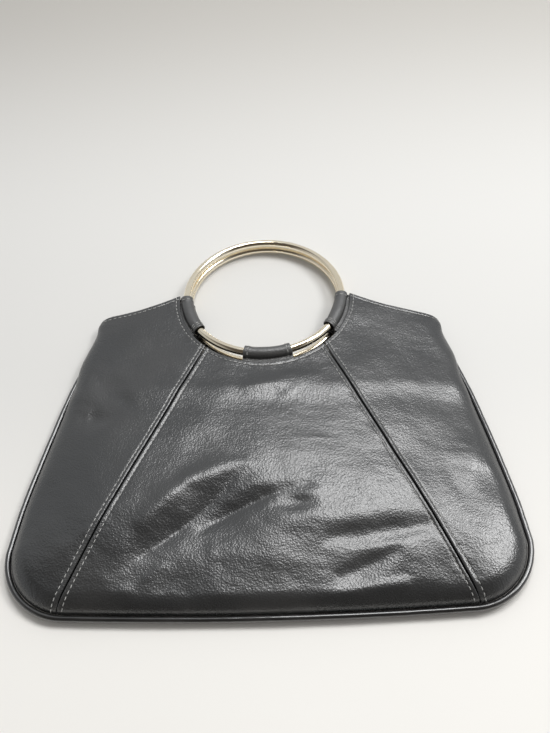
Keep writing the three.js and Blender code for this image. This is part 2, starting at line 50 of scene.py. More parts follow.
# Sizes of the leather body. Places on the bag are x from its middle and y up from its bottom edge.
bag = {
    "width": 336 * mm,
    "cornerRadius": 45 * mm,
    "bottomBow": 3 * mm,
    "shoulderDrop": 21.7 * mm,  # from the middle of the handles down to the shoulder corners
    "shoulderSkew": 4 * mm,
    "shoulderSag": 3 * mm,
    "lean": 2.5 * mm,  # the shoulders lie this much to the right
    "seamFoot": 128.5 * mm,
    "seamAngle": 48.5,
    "leather": 1.6 * mm,
    "seamHeight": 5 * mm,
    "seamGap": 0.16 * mm,
    "rollWidth": 12 * mm,
    "rollRise": 8 * mm,
    "crownWidth": 80 * mm,
    "crownRise": 9 * mm,
    "backCurl": 10 * mm,
    "pipingDiameter": 4 * mm,
    "pipingClearance": 0.35 * mm,
    "pipingLift": 0.6 * mm,  # room under the front where it covers the piping
    "coverStart": 0.35,  # share of the cover over which the front climbs past the piping
    "mouthGap": 5.7 * mm,
    "mouthDrop": 2.9 * mm,
    "mouthRise": {"left": 3, "right": 1},  # degrees above its middle where the mouth's arc ends
}
handle = {
    "radius": 60.5 * mm,
    "wire": 5.75 * mm,
    "up": 255.3 * mm,
    "aside": 0.5 * mm,
    "apart": 9.45 * mm,
    "frontRise": 3.25 * mm,
    "backRise": 1 * mm,
    "sides": 36,
    "steps": 220,
}

halfWidth = bag["width"] / 2
bodyHeight = handle["up"] - bag["shoulderDrop"]
mouthRadius = handle["radius"] + bag["mouthGap"]
mouthUp = handle["up"] - bag["mouthDrop"]
pipingInset = bag["pipingDiameter"] + bag["pipingClearance"]
edgeBeside = bag["seamHeight"] + bag["seamGap"] / 2
edgeAbove = bag["seamHeight"] + bag["pipingDiameter"] / 2 + bag["pipingLift"]

# The bag's own place in the frame is read from the back handle, whose middle it shares
handleLow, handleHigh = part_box("back_ring")
bagMiddle = (handleLow.x + handleHigh.x) / 2
bagBottom = (handleLow.y + handleHigh.y) / 2 - handle["up"]

# Side outline: up is a share of the body height, out a share of half the width
outlineRows = [
    {"up": 0.33, "out": 0.981},
    {"up": 0.45, "out": 0.952},
    {"up": 0.6, "out": 0.911},
    {"up": 0.72, "out": 0.874},
    {"up": 0.84, "out": 0.827},
    {"up": 0.93, "out": 0.791},
    {"up": 0.975, "out": 0.787},
    {"up": 1, "out": 0.775},
]

# Height of the front by sections, and how far it has rolled over the piping
liftRows = [
    {"up": 0, "roll": 1, "crown": 0.85, "cover": 0},
    {"up": 0.3, "roll": 1, "crown": 1, "cover": 0},
    {"up": 0.6, "roll": 0.95, "crown": 0.8, "cover": 0},
    {"up": 0.75, "roll": 0.84, "crown": 0.52, "cover": 0.5},
    {"up": 0.86, "roll": 0.74, "crown": 0.42, "cover": 1},
    {"up": 0.95, "roll": 0.64, "crown": 0.42, "cover": 1},
    {"up": 1.1, "roll": 0.56, "crown": 0.42, "cover": 1},
]

# Broad dents of the front, where the solids have them: shares of half the width and of the height.
# Those of the lower left are shallow here, because the two large creases below carry their form.
dentRows = [
    {"from": (-0.49, 0.18), "to": (-0.215, 0.335), "wide": 0.052, "rise": -0.08},  # long dent
    {"from": (-0.215, 0.335), "to": (-0.11, 0.41), "wide": 0.035, "rise": -0.04},  # its far end
    {"from": (-0.46, 0.26), "to": (-0.3, 0.375), "wide": 0.05, "rise": 0.16},  # its upper rim
    {"from": (-0.3, 0.385), "to": (-0.08, 0.43), "wide": 0.05, "rise": 0.14},  # end of the rim
    {"from": (-0.24, 0.25), "to": (0, 0.335), "wide": 0.036, "rise": -0.06},  # second dent
    {"from": (0, 0.335), "to": (0.18, 0.355), "wide": 0.028, "rise": -0.05},  # its shallow end
    {"from": (-0.48, 0.14), "to": (-0.26, 0.22), "wide": 0.035, "rise": 0.03},  # middle ridge
    {"from": (-0.26, 0.215), "to": (0.03, 0.305), "wide": 0.035, "rise": 0.03},  # far end of the ridge
    {"from": (0.04, 0.3), "to": (0.17, 0.3), "wide": 0.034, "rise": -0.14},  # short dent
    {"from": (-0.2, 0.125), "to": (0.07, 0.09), "wide": 0.055, "rise": -0.03},  # bottom bowl
    {"from": (-0.18, 0.19), "to": (0.2, 0.135), "wide": 0.04, "rise": 0.02},  # bowl rim
    {"from": (0.11, 0.03), "to": (0.5, 0.07), "wide": 0.03, "rise": 0.16},  # pinch
    {"from": (0.24, 0.2), "to": (0.6, 0.23), "wide": 0.045, "rise": -0.2},  # broad hollow
    {"from": (0.27, 0.1), "to": (0.48, 0.16), "wide": 0.035, "rise": -0.13},  # lower hollow
    {"from": (-0.07, 0.7), "to": (0.22, 0.74), "wide": 0.04, "rise": 0.08},  # mouth ridge
    {"from": (-0.73, 0.75), "to": (-0.6, 0.67), "wide": 0.05, "rise": -0.14},  # left dimple
    {"from": (-0.75, 0.6), "to": (-0.68, 0.6), "wide": 0.05, "rise": -0.14},  # lower dimple
    {"from": (0.82, 0.46), "to": (0.8, 0.4), "wide": 0.07, "rise": 0.14},  # right swell
]

# Creases: two large valleys, then those that are too fine for the solids. Each bends through its
# middle point; wide is on the left of the way along it and other on its right, and sharp is 2 for a
# soft fold and 1 for a crisp one.
creaseRows = [
    {"path": [(-100, 24), (-50, 60), (-6, 104)], "wide": 8.6, "other": 26, "rise": -5.2, "sharp": 1.4},
    {"path": [(-54, 44), (-14, 70), (34, 84)], "wide": 7.2, "other": 22, "rise": -3, "sharp": 1.35},
    {"path": [(-27, 80), (-19, 89), (-10, 99)], "wide": 2, "other": 3, "rise": 0.45, "sharp": 1.6},
    {"path": [(-74, 54), (-58, 70), (-34, 90)], "wide": 6, "other": 6, "rise": -0.3, "sharp": 2},
    {"path": [(-78, 58), (-54, 84), (-14, 104)], "wide": 11, "other": 7, "rise": 0.7, "sharp": 2},
    {"path": [(-36, 72), (-12, 84), (20, 90)], "wide": 8, "other": 4, "rise": 0.3, "sharp": 2},
    {"path": [(18, 84), (26, 85), (35, 82)], "wide": 1.6, "other": 2, "rise": -0.4, "sharp": 1.4},
    {"path": [(5, 73), (18, 73), (31, 71)], "wide": 3.5, "other": 4.5, "rise": -0.4, "sharp": 2},
    {"path": [(-80, 18), (-68, 30), (-56, 34)], "wide": 3, "other": 5, "rise": 0.6, "sharp": 1.4},
    {"path": [(-70, 16), (-62, 20), (-54, 28)], "wide": 3, "other": 3, "rise": -0.3, "sharp": 2},
    {"path": [(-58, 16), (-16, 11), (50, 7)], "wide": 5, "other": 3, "rise": 0.6, "sharp": 1.7},
    {"path": [(-32, 50), (-34, 40), (-30, 28)], "wide": 5, "other": 4, "rise": 0.35, "sharp": 2},
    {"path": [(-34, 42), (4, 33), (48, 28)], "wide": 7, "other": 6, "rise": 0.25, "sharp": 2},
    {"path": [(-6, 52), (20, 50), (40, 58)], "wide": 5, "other": 5, "rise": -0.25, "sharp": 2},
    {"path": [(16, 66), (40, 60), (66, 64)], "wide": 7, "other": 5, "rise": 0.3, "sharp": 2},
    {"path": [(48, 7), (66, 18), (116, 20)], "wide": 5, "other": 3, "rise": 0.55, "sharp": 1.5},
    {"path": [(44, 44), (72, 46), (104, 53)], "wide": 6, "other": 5, "rise": -0.45, "sharp": 2},
    {"path": [(44, 60), (72, 62), (100, 68)], "wide": 7, "other": 6, "rise": 0.3, "sharp": 2},
    {"path": [(44, 18), (62, 28), (84, 36)], "wide": 5, "other": 5, "rise": -0.4, "sharp": 2},
    {"path": [(8, 171), (18, 174), (27, 176)], "wide": 1.8, "other": 1.6, "rise": 0.4, "sharp": 1.3},
    {"path": [(6, 152), (16, 156), (27, 165)], "wide": 3, "other": 2, "rise": 0.35, "sharp": 1.5},
    {"path": [(12, 121), (30, 119), (54, 117)], "wide": 2.5, "other": 2, "rise": 0.25, "sharp": 1.4},
    {"path": [(-14, 162), (10, 168), (34, 180)], "wide": 5, "other": 3, "rise": 0.25, "sharp": 1.8},
    {"path": [(-126, 178), (-112, 176), (-98, 162)], "wide": 6, "other": 5, "rise": -0.45, "sharp": 2},
    {"path": [(-124, 146), (-112, 140), (-98, 146)], "wide": 6, "other": 5, "rise": -0.4, "sharp": 2},
    {"path": [(-157, 82), (-150, 66), (-156, 48)], "wide": 5, "other": 4, "rise": -0.5, "sharp": 1.8},
    {"path": [(-156, 40), (-150, 20), (-128, 14)], "wide": 4, "other": 4, "rise": 0.35, "sharp": 2},
    {"path": [(116, 102), (125, 78), (134, 62)], "wide": 6, "other": 5, "rise": -0.5, "sharp": 2},
    {"path": [(92, 104), (103, 72), (124, 20)], "wide": 5, "other": 5, "rise": 0.3, "sharp": 2},
    {"path": [(132, 120), (138, 108), (140, 92)], "wide": 8, "other": 6, "rise": 0.5, "sharp": 2},
    {"path": [(118, 14), (138, 13), (156, 20)], "wide": 4, "other": 4, "rise": -0.5, "sharp": 2},
    {"path": [(130, 40), (144, 42), (156, 54)], "wide": 6, "other": 6, "rise": -0.35, "sharp": 2},
    {"path": [(-108, 100), (-100, 84), (-86, 70)], "wide": 6, "other": 6, "rise": -0.25, "sharp": 2},
    {"path": [(-94, 12), (-86, 17), (-78, 14)], "wide": 4, "other": 4, "rise": 0.45, "sharp": 2},
    {"path": [(104, 200), (118, 190), (128, 176)], "wide": 7, "other": 7, "rise": -0.25, "sharp": 2},
]


def smooth(share):
    share = np.clip(share, 0, 1)
    return share * share * (3 - 2 * share)


def quarter(share):  # rises from 0 to 1 as a quarter circle does
    return np.sqrt(1 - (1 - np.clip(share, 0, 1)) ** 2)


def bell(distance, wide, sharp=2.0):
    return np.exp(-(np.abs(distance / wide) ** sharp))


def tableAt(rows, column, up):  # a column at any height, on a smooth line through the rows
    ups = np.array([row["up"] for row in rows])
    values = np.array([row[column] for row in rows], float)
    slopes = np.zeros(len(rows))
    slopes[1:-1] = (values[2:] - values[:-2]) / (ups[2:] - ups[:-2])
    here = np.clip(np.searchsorted(ups, up) - 1, 0, len(rows) - 2)
    length = ups[here + 1] - ups[here]
    t = np.clip((up - ups[here]) / length, 0, 1)
    bend = t * (1 - t) ** 2 * slopes[here] + t * t * (t - 1) * slopes[here + 1]
    return values[here] + (values[here + 1] - values[here]) * t * t * (3 - 2 * t) + bend * length


def curveThrough(knots, steps):  # a smooth line through points, each stretch cut into steps
    knots = np.array(knots, float)
    before = np.concatenate([knots[:1], knots[:-2]])
    after = np.concatenate([knots[2:], knots[-1:]])
    found = [knots[:1]]
    for i in range(len(knots) - 1):
        t = np.arange(1, steps + 1)[:, None] / steps
        start = (knots[i + 1] - before[i]) / 2
        end = (after[i] - knots[i]) / 2
        rise = t * t * (3 - 2 * t)
        line = knots[i] + (knots[i + 1] - knots[i]) * rise
        found.append(line + start * t * (1 - t) ** 2 + end * t * t * (t - 1))
    return np.concatenate(found)


def lengthsAlong(line):
    return np.concatenate([[0], np.cumsum(np.linalg.norm(np.diff(line, axis=0), axis=1))])


def pointAt(line, length):  # a place on a line by the length along it
    lengths = lengthsAlong(line)
    return np.stack([np.interp(length, lengths, line[:, k]) for k in range(line.shape[1])], -1)


def nearestOn(line, places):  # distance from a line, length along it, and which side the place is on
    starts, alongs = line[:-1], np.diff(line, axis=0)
    squares = (alongs**2).sum(1)
    lengths = lengthsAlong(line)
    flat = places.reshape(-1, 2)
    distance, length, side = (np.empty(len(flat)) for _ in range(3))
    for first in range(0, len(flat), 4000):
        part = slice(first, first + 4000)
        away = flat[part, None, :] - starts[None]
        share = np.clip((away * alongs[None]).sum(2) / squares, 0, 1)
        gap = away - share[..., None] * alongs[None]
        far = np.sqrt((gap**2).sum(2))
        best = far.argmin(1)
        row = np.arange(len(best))
        distance[part] = far[row, best]
        length[part] = lengths[best] + share[row, best] * np.sqrt(squares[best])
        step, off = alongs[best], away[row, best]
        side[part] = np.sign(step[:, 0] * off[:, 1] - step[:, 1] * off[:, 0])
    shape = places.shape[:-1]
    return distance.reshape(shape), length.reshape(shape), side.reshape(shape)


def waves(x, y, size, seed, count=14):  # an uneven surface between about -1 and 1, of swells this long
    draw = np.random.RandomState(seed)
    total = np.zeros_like(x)
    for _ in range(count):
        turn, shift = draw.uniform(0, 2 * math.pi, 2)
        pace = 2 * math.pi / (size * draw.uniform(0.7, 1.5))
        total += np.sin(pace * (x * math.cos(turn) + y * math.sin(turn)) + shift)
    return total / math.sqrt(count)


# Outlines of the panels
def halfOutline(side):
    radius = bag["cornerRadius"]
    flat = halfWidth - radius
    top = bodyHeight - side * bag["shoulderSkew"]
    share = np.linspace(0, 1, 40, endpoint=False)
    bottom = np.stack([flat * share, bag["bottomBow"] * share**2], 1)
    angle = np.linspace(0, math.pi / 2, 48)
    cornerUp = bag["bottomBow"] + radius
    corner = np.stack([flat + radius * np.sin(angle), cornerUp - radius * np.cos(angle)], 1)
    knots = [(halfWidth, cornerUp)] + [(halfWidth * row["out"], top * row["up"]) for row in outlineRows]
    line = np.concatenate([bottom, corner, curveThrough(knots, 12)[1:]])
    lean = bag["lean"] * line[:, 1:] / top
    return line * (side, 1) + lean * (1, 0)


def movedIn(line, side, inset):
    before = np.concatenate([line[:1], line[:-1]])
    after = np.concatenate([line[1:], line[-1:]])
    along = after - before
    along /= np.linalg.norm(along, axis=1)[:, None]
    distance = inset(line[:, 1] / bodyHeight)
    return line + np.stack([-side * along[:, 1] * distance, side * along[:, 0] * distance], 1)


def coverAt(up):
    return np.clip(tableAt(liftRows, "cover", np.clip(up, 0, 1.1)), 0, 1)


def frontInset(up):
    return pipingInset * (1 - smooth((coverAt(up) - bag["coverStart"]) / (1 - bag["coverStart"])))


def frontEdge(up):
    return edgeBeside + (edgeAbove - edgeBeside) * smooth(coverAt(up) / bag["coverStart"])


sides = {"left": -1, "right": 1}
outlines = {"front": {}, "back": {}, "piping": {}}
for sideName, side in sides.items():
    outer = halfOutline(side)
    outlines["front"][sideName] = movedIn(outer, side, frontInset)
    outlines["back"][sideName] = movedIn(outer, side, lambda up: pipingInset + 0 * up)
    outlines["piping"][sideName] = movedIn(outer, side, lambda up: bag["pipingDiameter"] / 2 + 0 * up)


def wholeOutline(panels):  # from the left shoulder round the bottom to the right shoulder
    return np.concatenate([outlines[panels]["left"][:0:-1], outlines[panels]["right"]])


def mouthPoint(degrees):
    angle = np.radians(degrees)
    return np.stack([mouthRadius * np.cos(angle), mouthUp + mouthRadius * np.sin(angle)], -1)


def footLength(line, out):  # length along an outline to where it is this far from the middle
    inside = np.abs(line[:, 0]) >= out
    here = int(np.argmax(inside))
    lengths = lengthsAlong(line)
    a, b = abs(line[here - 1, 0]), abs(line[here, 0])
    return lengths[here - 1] + (lengths[here] - lengths[here - 1]) * (out - a) / (b - a)


seams = {}
for sideName, side in sides.items():
    top = mouthPoint(-bag["seamAngle"]) * (side, 1)
    line = outlines["front"][sideName]
    seams[sideName] = np.stack([pointAt(line, footLength(line, bag["seamFoot"])), top])


def seamLine(panels, sideName, outwards):  # one side of a slanting seam, half the gap away from it
    side = sides[sideName]
    line = outlines[panels][sideName]
    foot = pointAt(line, footLength(line, bag["seamFoot"] + outwards * bag["seamGap"] / 2))
    x = seams[sideName][1, 0] + side * outwards * bag["seamGap"] / 2
    top = np.array([x, mouthUp - math.sqrt(mouthRadius**2 - x**2)])
    return np.stack([foot, top])


def fromSeam(x, y):  # distance from the nearer slanting seam
    found = []
    for sideName in sides:
        foot, top = seams[sideName]
        along = (top - foot) / np.linalg.norm(top - foot)
        found.append(np.abs((x - foot[0]) * along[1] - (y - foot[1]) * along[0]))
    return np.where(x < 0, found[0], found[1])


def shoulderLine(panels, sideName):  # from the mouth's corner to the shoulder corner
    corner = mouthPoint(bag["mouthRise"][sideName]) * (sides[sideName], 1)
    end = outlines[panels][sideName][-1]
    share = np.linspace(0, 1, 40)[:, None]
    line = corner + (end - corner) * share
    line[:, 1] -= bag["shoulderSag"] * np.sin(math.pi * share[:, 0])
    return line


def fromTop(x, y, panels="front"):  # distance from the mouth or shoulder edge, whichever is nearer
    places = np.stack([x, y], -1)
    mouth = np.hypot(x, y - mouthUp) - mouthRadius
    shoulders = [nearestOn(shoulderLine(panels, name), places)[0] for name in sides]
    return np.minimum(np.abs(mouth), np.minimum(*shoulders))


# Stitches lie this far in from the edges and seams, in a shallow channel
sewing = {
    "besideSeam": 3.3 * mm,
    "besideEdge": 3.0 * mm,
    "pitch": 3.75 * mm,
    "length": 2.75 * mm,
    "thread": 0.62 * mm,
    "channel": 0.16 * mm,
    "channelWidth": 0.5 * mm,
    "ridge": 0.22 * mm,
    "ridgeWidth": 0.9 * mm,
    # how deep the stitches lie; the back's stay clear of the ground
    "sunk": {"front": -0.12 * mm, "back": 0.2 * mm, "straps": -0.12 * mm},
    "sink": 0.55 * mm,
    "sinkWidth": 0.6 * mm,
    "edgeRise": 0.22 * mm,
    "edgeWidth": 5 * mm,
    "pucker": 0.07 * mm,
}


def creasesAt(x, y):
    places = np.stack([x, y], -1)
    total = np.zeros_like(x)
    for row in creaseRows:
        start, middle, end = (np.array(point) * mm for point in row["path"])
        t = np.linspace(0, 1, 22)[:, None]
        line = (1 - t) ** 2 * start + 2 * t * (1 - t) * (2 * middle - (start + end) / 2) + t * t * end
        distance, length, side = nearestOn(line, places)
        share = length / lengthsAlong(line)[-1]
        wide = np.where(side > 0, row["wide"], row["other"]) * mm
        total += row["rise"] * mm * np.sin(math.pi * share) ** 1.4 * bell(distance, wide, row["sharp"])
    return total


def dentsAt(x, y):
    places = np.stack([x, y], -1)
    total = np.zeros_like(x)
    for row in dentRows:
        line = np.array([row["from"], row["to"]]) * (halfWidth, bodyHeight)
        distance, along, _ = nearestOn(line, places)
        swell = np.sin(np.pi * np.clip(along / lengthsAlong(line)[-1], 0, 1))
        wide = row["wide"] * halfWidth * (0.7 + 0.3 * swell)
        total += row["rise"] * (0.55 + 0.45 * swell) * bell(distance, wide)
    return total * bag["crownRise"]


def sewnRelief(x, y, panels):  # what the seams, hems and stitch channels add to a flat panel
    beside = fromSeam(x, y)
    top = fromTop(x, y, panels)
    relief = sewing["ridge"] * bell(beside - 1.5 * mm, sewing["ridgeWidth"])
    relief -= sewing["sink"] * bell(beside, sewing["sinkWidth"])
    relief -= sewing["channel"] * bell(beside - sewing["besideSeam"], sewing["channelWidth"])
    relief -= sewing["channel"] * bell(top - sewing["besideEdge"], sewing["channelWidth"])
    relief += sewing["edgeRise"] * smooth(1 - top / sewing["edgeWidth"])
    along = x * 0.45 + y * 0.9
    pucker = waves(along, along * 0, 8 * mm, 5) * bell(beside - 4 * mm, 3 * mm)
    pucker += waves(x, y, 9 * mm, 6) * bell(top - 4 * mm, 3 * mm)
    return relief + sewing["pucker"] * pucker


def frontForm(x, y):  # the front without folds, and how much of its folds shows at each place
    up = np.clip(y / bodyHeight, 0, 1.1)
    distance = nearestOn(wholeOutline("front"), np.stack([x, y], -1))[0]
    roll = bag["rollRise"] * tableAt(liftRows, "roll", up) * quarter(distance / bag["rollWidth"])
    across = np.clip(distance / bag["crownWidth"], 0, 1)
    crown = bag["crownRise"] * tableAt(liftRows, "crown", up) * (1 - (1 - across) ** 2)
    return frontEdge(up) + roll + crown, smooth(distance / bag["rollWidth"])


def backForm(x, y):  # the back, curled up to its seam, and each place's distance from its outline
    distance = nearestOn(wholeOutline("back"), np.stack([x, y], -1))[0]
    curl = (bag["seamHeight"] - bag["seamGap"] / 2) * (1 - quarter(distance / bag["backCurl"]))
    return curl, distance


def frontHeight(x, y):
    form, fade = frontForm(x, y)
    soft = 0.3 * mm * waves(x, y, 62 * mm, 1) + 0.1 * mm * waves(x, y, 26 * mm, 2)
    soft += 0.035 * mm * waves(x * 0.8, y * 1.3, 11 * mm, 3) + 0.012 * mm * waves(x, y, 5 * mm, 4)
    folds = (dentsAt(x, y) + creasesAt(x, y) + soft) * fade
    return form + folds + sewnRelief(x, y, "front") * fade


def backHeight(x, y):
    curl, distance = backForm(x, y)
    hollow = 0.35 * mm * (1 + np.clip(waves(x, y, 48 * mm, 11), -1, 1))
    hollow = hollow * smooth(distance / bag["crownWidth"])
    relief = 0.3 * mm - sewnRelief(x, y, "back")
    return curl + (hollow + np.maximum(relief, 0)) * smooth(distance / bag["backCurl"])


heights = {"front": frontHeight, "back": backHeight}


# Meshes
def place(points):  # from the bag's own lengths to the frame
    return points + np.array([bagMiddle, bagBottom, 0])


def makePiece(name, points, faces, marks=None):
    mesh = bpy.data.meshes.new(name)
    mesh.from_pydata(points.tolist(), [], faces)
    for mark, values in (marks or {}).items():
        layer = mesh.attributes.new(mark, "FLOAT", "POINT")
        layer.data.foreach_set("value", np.asarray(values, np.float32))
    piece = bpy.data.objects.new(name, mesh)
    bpy.context.scene.collection.objects.link(piece)
    shell = bmesh.new()
    shell.from_mesh(mesh)
    bmesh.ops.remove_doubles(shell, verts=shell.verts, dist=1e-7)
    bmesh.ops.dissolve_degenerate(shell, edges=shell.edges, dist=1e-8)
    bmesh.ops.recalc_face_normals(shell, faces=shell.faces)
    shell.to_mesh(mesh)
    shell.free()
    mesh.shade_smooth()
    return piece


def gridNormals(points):
    across = np.gradient(points, axis=1)
    along = np.gradient(points, axis=0)
    normals = np.cross(across, along)
    size = np.linalg.norm(normals, axis=2)
    typical = np.median(size)
    weak = size < typical * 1e-5
    normals /= np.maximum(size, 1e-30)[..., None]
    normals[weak] = 0
    for _ in range(4):
        padded = np.pad(normals, ((1, 1), (1, 1), (0, 0)), mode="edge")
        near = padded[:-2, 1:-1] + padded[2:, 1:-1] + padded[1:-1, :-2] + padded[1:-1, 2:]
        normals[weak] = near[weak]
        weakSize = np.linalg.norm(normals, axis=2)
        normals[weak] /= np.maximum(weakSize[weak], 1e-30)[:, None]
    return normals


def wallPiece(name, outer, edge, thickness, facing, rub):
    # A wall under a grid of points, closed with a rounded border. Edge is each point's distance from
    # it, and facing a vector that the outer face looks along, for each point or for all.
    normals = gridNormals(outer)
    if (normals * facing).sum() < 0:
        normals = -normals
    half = thickness / 2
    bulge = half * quarter(edge / half)
    middle = outer - normals * half
    top, under = middle + normals * bulge[..., None], middle - normals * bulge[..., None]
    rows, columns = edge.shape
    ids = np.arange(rows * columns).reshape(rows, columns)
    quads = np.stack([ids[:-1, :-1], ids[:-1, 1:], ids[1:, 1:], ids[1:, :-1]], -1).reshape(-1, 4)
    points = np.concatenate([place(top.reshape(-1, 3)), place(under.reshape(-1, 3))])
    faces = np.concatenate([quads, quads[:, ::-1] + rows * columns]).tolist()
    inside = np.repeat([0.0, 1.0], rows * columns)
    marks = {"rub": np.concatenate([rub.ravel(), np.zeros(rows * columns)]), "inside": inside}
    return makePiece(name, points, faces, marks)


def coonsPatch(bottom, top, start, end, u, v):
    near, far = bottom(u), top(u)
    left, right = start(v), end(v)
    u, v = u[..., None], v[..., None]
    zero = np.zeros(1)
    p00, p10 = bottom(zero)[0], bottom(zero + 1)[0]
    p01, p11 = top(zero)[0], top(zero + 1)[0]
    ruled = near * (1 - v) + far * v + left * (1 - u) + right * u
    return ruled - (p00 * (1 - u) + p10 * u) * (1 - v) - (p01 * (1 - u) + p11 * u) * v


def stations(length, starting, ending, step):
    # Distances along a length, with the given ones at its two ends and even steps between
    low, high = starting[-1], length - ending[-1]
    count = max(int(round((high - low) / step)), 2)
    between = np.linspace(low, high, count + 1)[1:-1]
    return np.concatenate([starting, between, length - ending[::-1]])


# Distances between the points of a sheet: even ones over it, and closer ones beside a sewn edge
sheetSteps = {"front": 1.45 * mm, "back": 2.6 * mm, "roll": 18}
edgeStations = [0, 0.12, 0.3, 0.55, 0.8, 1.1, 1.5, 1.9, 2.3, 2.6, 2.85, 3.1, 3.35, 3.7, 4.2, 5, 6]
edgeStations = np.array(edgeStations) * mm


def rollStations(width):
    turn = np.linspace(0, math.pi / 2, sheetSteps["roll"] + 1)
    return width * (1 - np.cos(turn))


def shares(lengths, starting, ending, step):
    # Stations as shares of each of these lengths. The middle ones keep their number for all of them.
    longest = float(np.max(lengths))
    base = stations(longest, starting, ending, step)
    inner = (base - starting[-1]) / (longest - starting[-1] - ending[-1])
    found = []
    for length in lengths:
        squeeze = min(1.0, 0.8 * length / (starting[-1] + ending[-1]))
        low, high = starting * squeeze, length - ending[::-1] * squeeze
        between = low[-1] + inner[len(starting) : len(base) - len(ending)] * (high[0] - low[-1])
        found.append(np.concatenate([low, between, high]) / length)
    return np.array(found)


def lineBetween(pair):
    return lambda share: pair[0] + (pair[1] - pair[0]) * np.asarray(share)[..., None]


def sheetPoints(bottom, top, start, end, ending, sameRows, width, step):
    # Places all over a sheet between four lines, closer together beside its seams and its rolled edge
    guess = np.linspace(0, 1, 60)
    widths = np.linalg.norm(end(guess) - start(guess), axis=1)
    rows = stations(np.linalg.norm(start(1) - start(0)), rollStations(width), edgeStations, step)
    u = shares(np.interp(rows / rows[-1], guess, widths), edgeStations, ending, step)
    middle = u[len(u) // 2]
    lengths = np.linalg.norm(top(middle) - bottom(middle), axis=1)
    if sameRows:
        lengths = np.full(len(lengths), lengths.mean())
    v = shares(lengths, rollStations(width), edgeStations, step).T
    if len(v) != len(u):
        v = v[np.linspace(0, len(v) - 1, len(u)).round().astype(int)]
    return coonsPatch(bottom, top, start, end, u, v)


def centerSheet(panels, step, width):
    left, right = seamLine(panels, "left", -1), seamLine(panels, "right", -1)
    halves = outlines[panels]
    feet = {name: footLength(halves[name], bag["seamFoot"] - bag["seamGap"] / 2) for name in sides}

    def bottom(u):
        onLeft = pointAt(halves["left"], feet["left"] * (1 - 2 * np.minimum(u, 0.5)))
        onRight = pointAt(halves["right"], feet["right"] * (2 * np.maximum(u, 0.5) - 1))
        return np.where((u < 0.5)[..., None], onLeft, onRight)

    def angleOf(point):
        return math.degrees(math.atan2(point[1] - mouthUp, point[0]))

    def top(u):
        return mouthPoint(angleOf(left[1]) + (angleOf(right[1]) - angleOf(left[1])) * u)

    start, end = lineBetween(left), lineBetween(right)
    return sheetPoints(bottom, top, start, end, edgeStations, False, width, step)


def sideSheet(panels, sideName, step, width):
    seam = seamLine(panels, sideName, 1)
    line = outlines[panels][sideName]
    foot = footLength(line, bag["seamFoot"] + bag["seamGap"] / 2)
    full = lengthsAlong(line)[-1]
    corner = halfWidth - bag["cornerRadius"] + bag["cornerRadius"] * math.pi / 4
    mouthEnd = math.degrees(math.atan2(seam[1, 1] - mouthUp, abs(seam[1, 0])))
    angle = np.linspace(mouthEnd, bag["mouthRise"][sideName], 40)
    topLine = np.concatenate([mouthPoint(angle) * (sides[sideName], 1), shoulderLine(panels, sideName)[1:]])
    topLength = lengthsAlong(topLine)[-1]

    def bottom(u):
        return pointAt(line, foot + (corner - foot) * u)

    def end(v):
        return pointAt(line, corner + (full - corner) * v)

    def top(u):
        return pointAt(topLine, topLength * u)

    start = lineBetween(seam)
    return sheetPoints(bottom, top, start, end, rollStations(width), True, width, step)


def panelPiece(panels, part):
    front = panels == "front"
    step = sheetSteps[panels]
    width = bag["rollWidth"] if front else bag["backCurl"]
    if part == "center":
        flat = centerSheet(panels, step, width)
    else:
        flat = sideSheet(panels, part, step, width)
    x, y = flat[..., 0], flat[..., 1]
    z = heights[panels](x, y)
    outer = np.stack([x, y, z], -1)
    beside = fromSeam(x, y) - bag["seamGap"] / 2
    top = fromTop(x, y, panels)
    fold = nearestOn(wholeOutline(panels), flat)[0]
    rim = frontEdge(np.clip(y / bodyHeight, 0, 1.1)) if front else bag["seamHeight"]
    edge = np.minimum(np.minimum(beside, top), np.hypot(fold, z - rim))
    edge[0], edge[-1], edge[:, 0], edge[:, -1] = 0, 0, 0, 0
    edge = np.maximum(edge, 0)
    rub = bell(beside - 1.4 * mm, 0.9 * mm) * 0.8 + bell(top, 0.9 * mm)
    rub = rub + bell(fold - 1 * mm, 3 * mm) * 0.4
    facing = (0, 0, 1 if front else -1)
    return wallPiece(f"{panels}_{part}_leather", outer, edge, bag["leather"], facing, rub)


print("shapes ready")
panels = {}
for panelSide in ("front", "back"):
    for part in ("center", "left", "right"):
        panels[panelSide, part] = panelPiece(panelSide, part)
print("leather panels made")


# Piping: a cord in a strip of leather, sewn in round the edge
piping = {
    "sides": 20,
    "step": 1.6 * mm,
    "wander": 0.12 * mm,
    "swell": 0.06 * mm,
    "thinner": 0.05 * mm,  # than the solid cord
    "shorter": 2.2 * mm,  # at each end
    "height": bag["seamHeight"],
}


def sweptPiece(name, centers, ups, radii):
    # A closed tube: for each center a ring of radii (steps by sides) round the line
    tangents = np.gradient(centers, axis=0)
    tangents /= np.linalg.norm(tangents, axis=1)[:, None]
    beside = np.cross(tangents, ups)
    beside /= np.linalg.norm(beside, axis=1)[:, None]
    ups = np.cross(beside, tangents)
    steps, sidesCount = radii.shape
    turn = np.linspace(0, 2 * math.pi, sidesCount, endpoint=False)
    ring = beside[:, None] * np.cos(turn)[None, :, None] + ups[:, None] * np.sin(turn)[None, :, None]
    points = centers[:, None] + ring * radii[..., None]
    ids = np.arange(steps * sidesCount).reshape(steps, sidesCount)
    after = np.roll(ids, -1, axis=1)
    quads = np.stack([ids[:-1], after[:-1], after[1:], ids[1:]], -1).reshape(-1, 4).tolist()
    caps = [ids[0][::-1].tolist(), ids[-1].tolist()]
    return makePiece(name, place(points.reshape(-1, 3)), quads + caps)


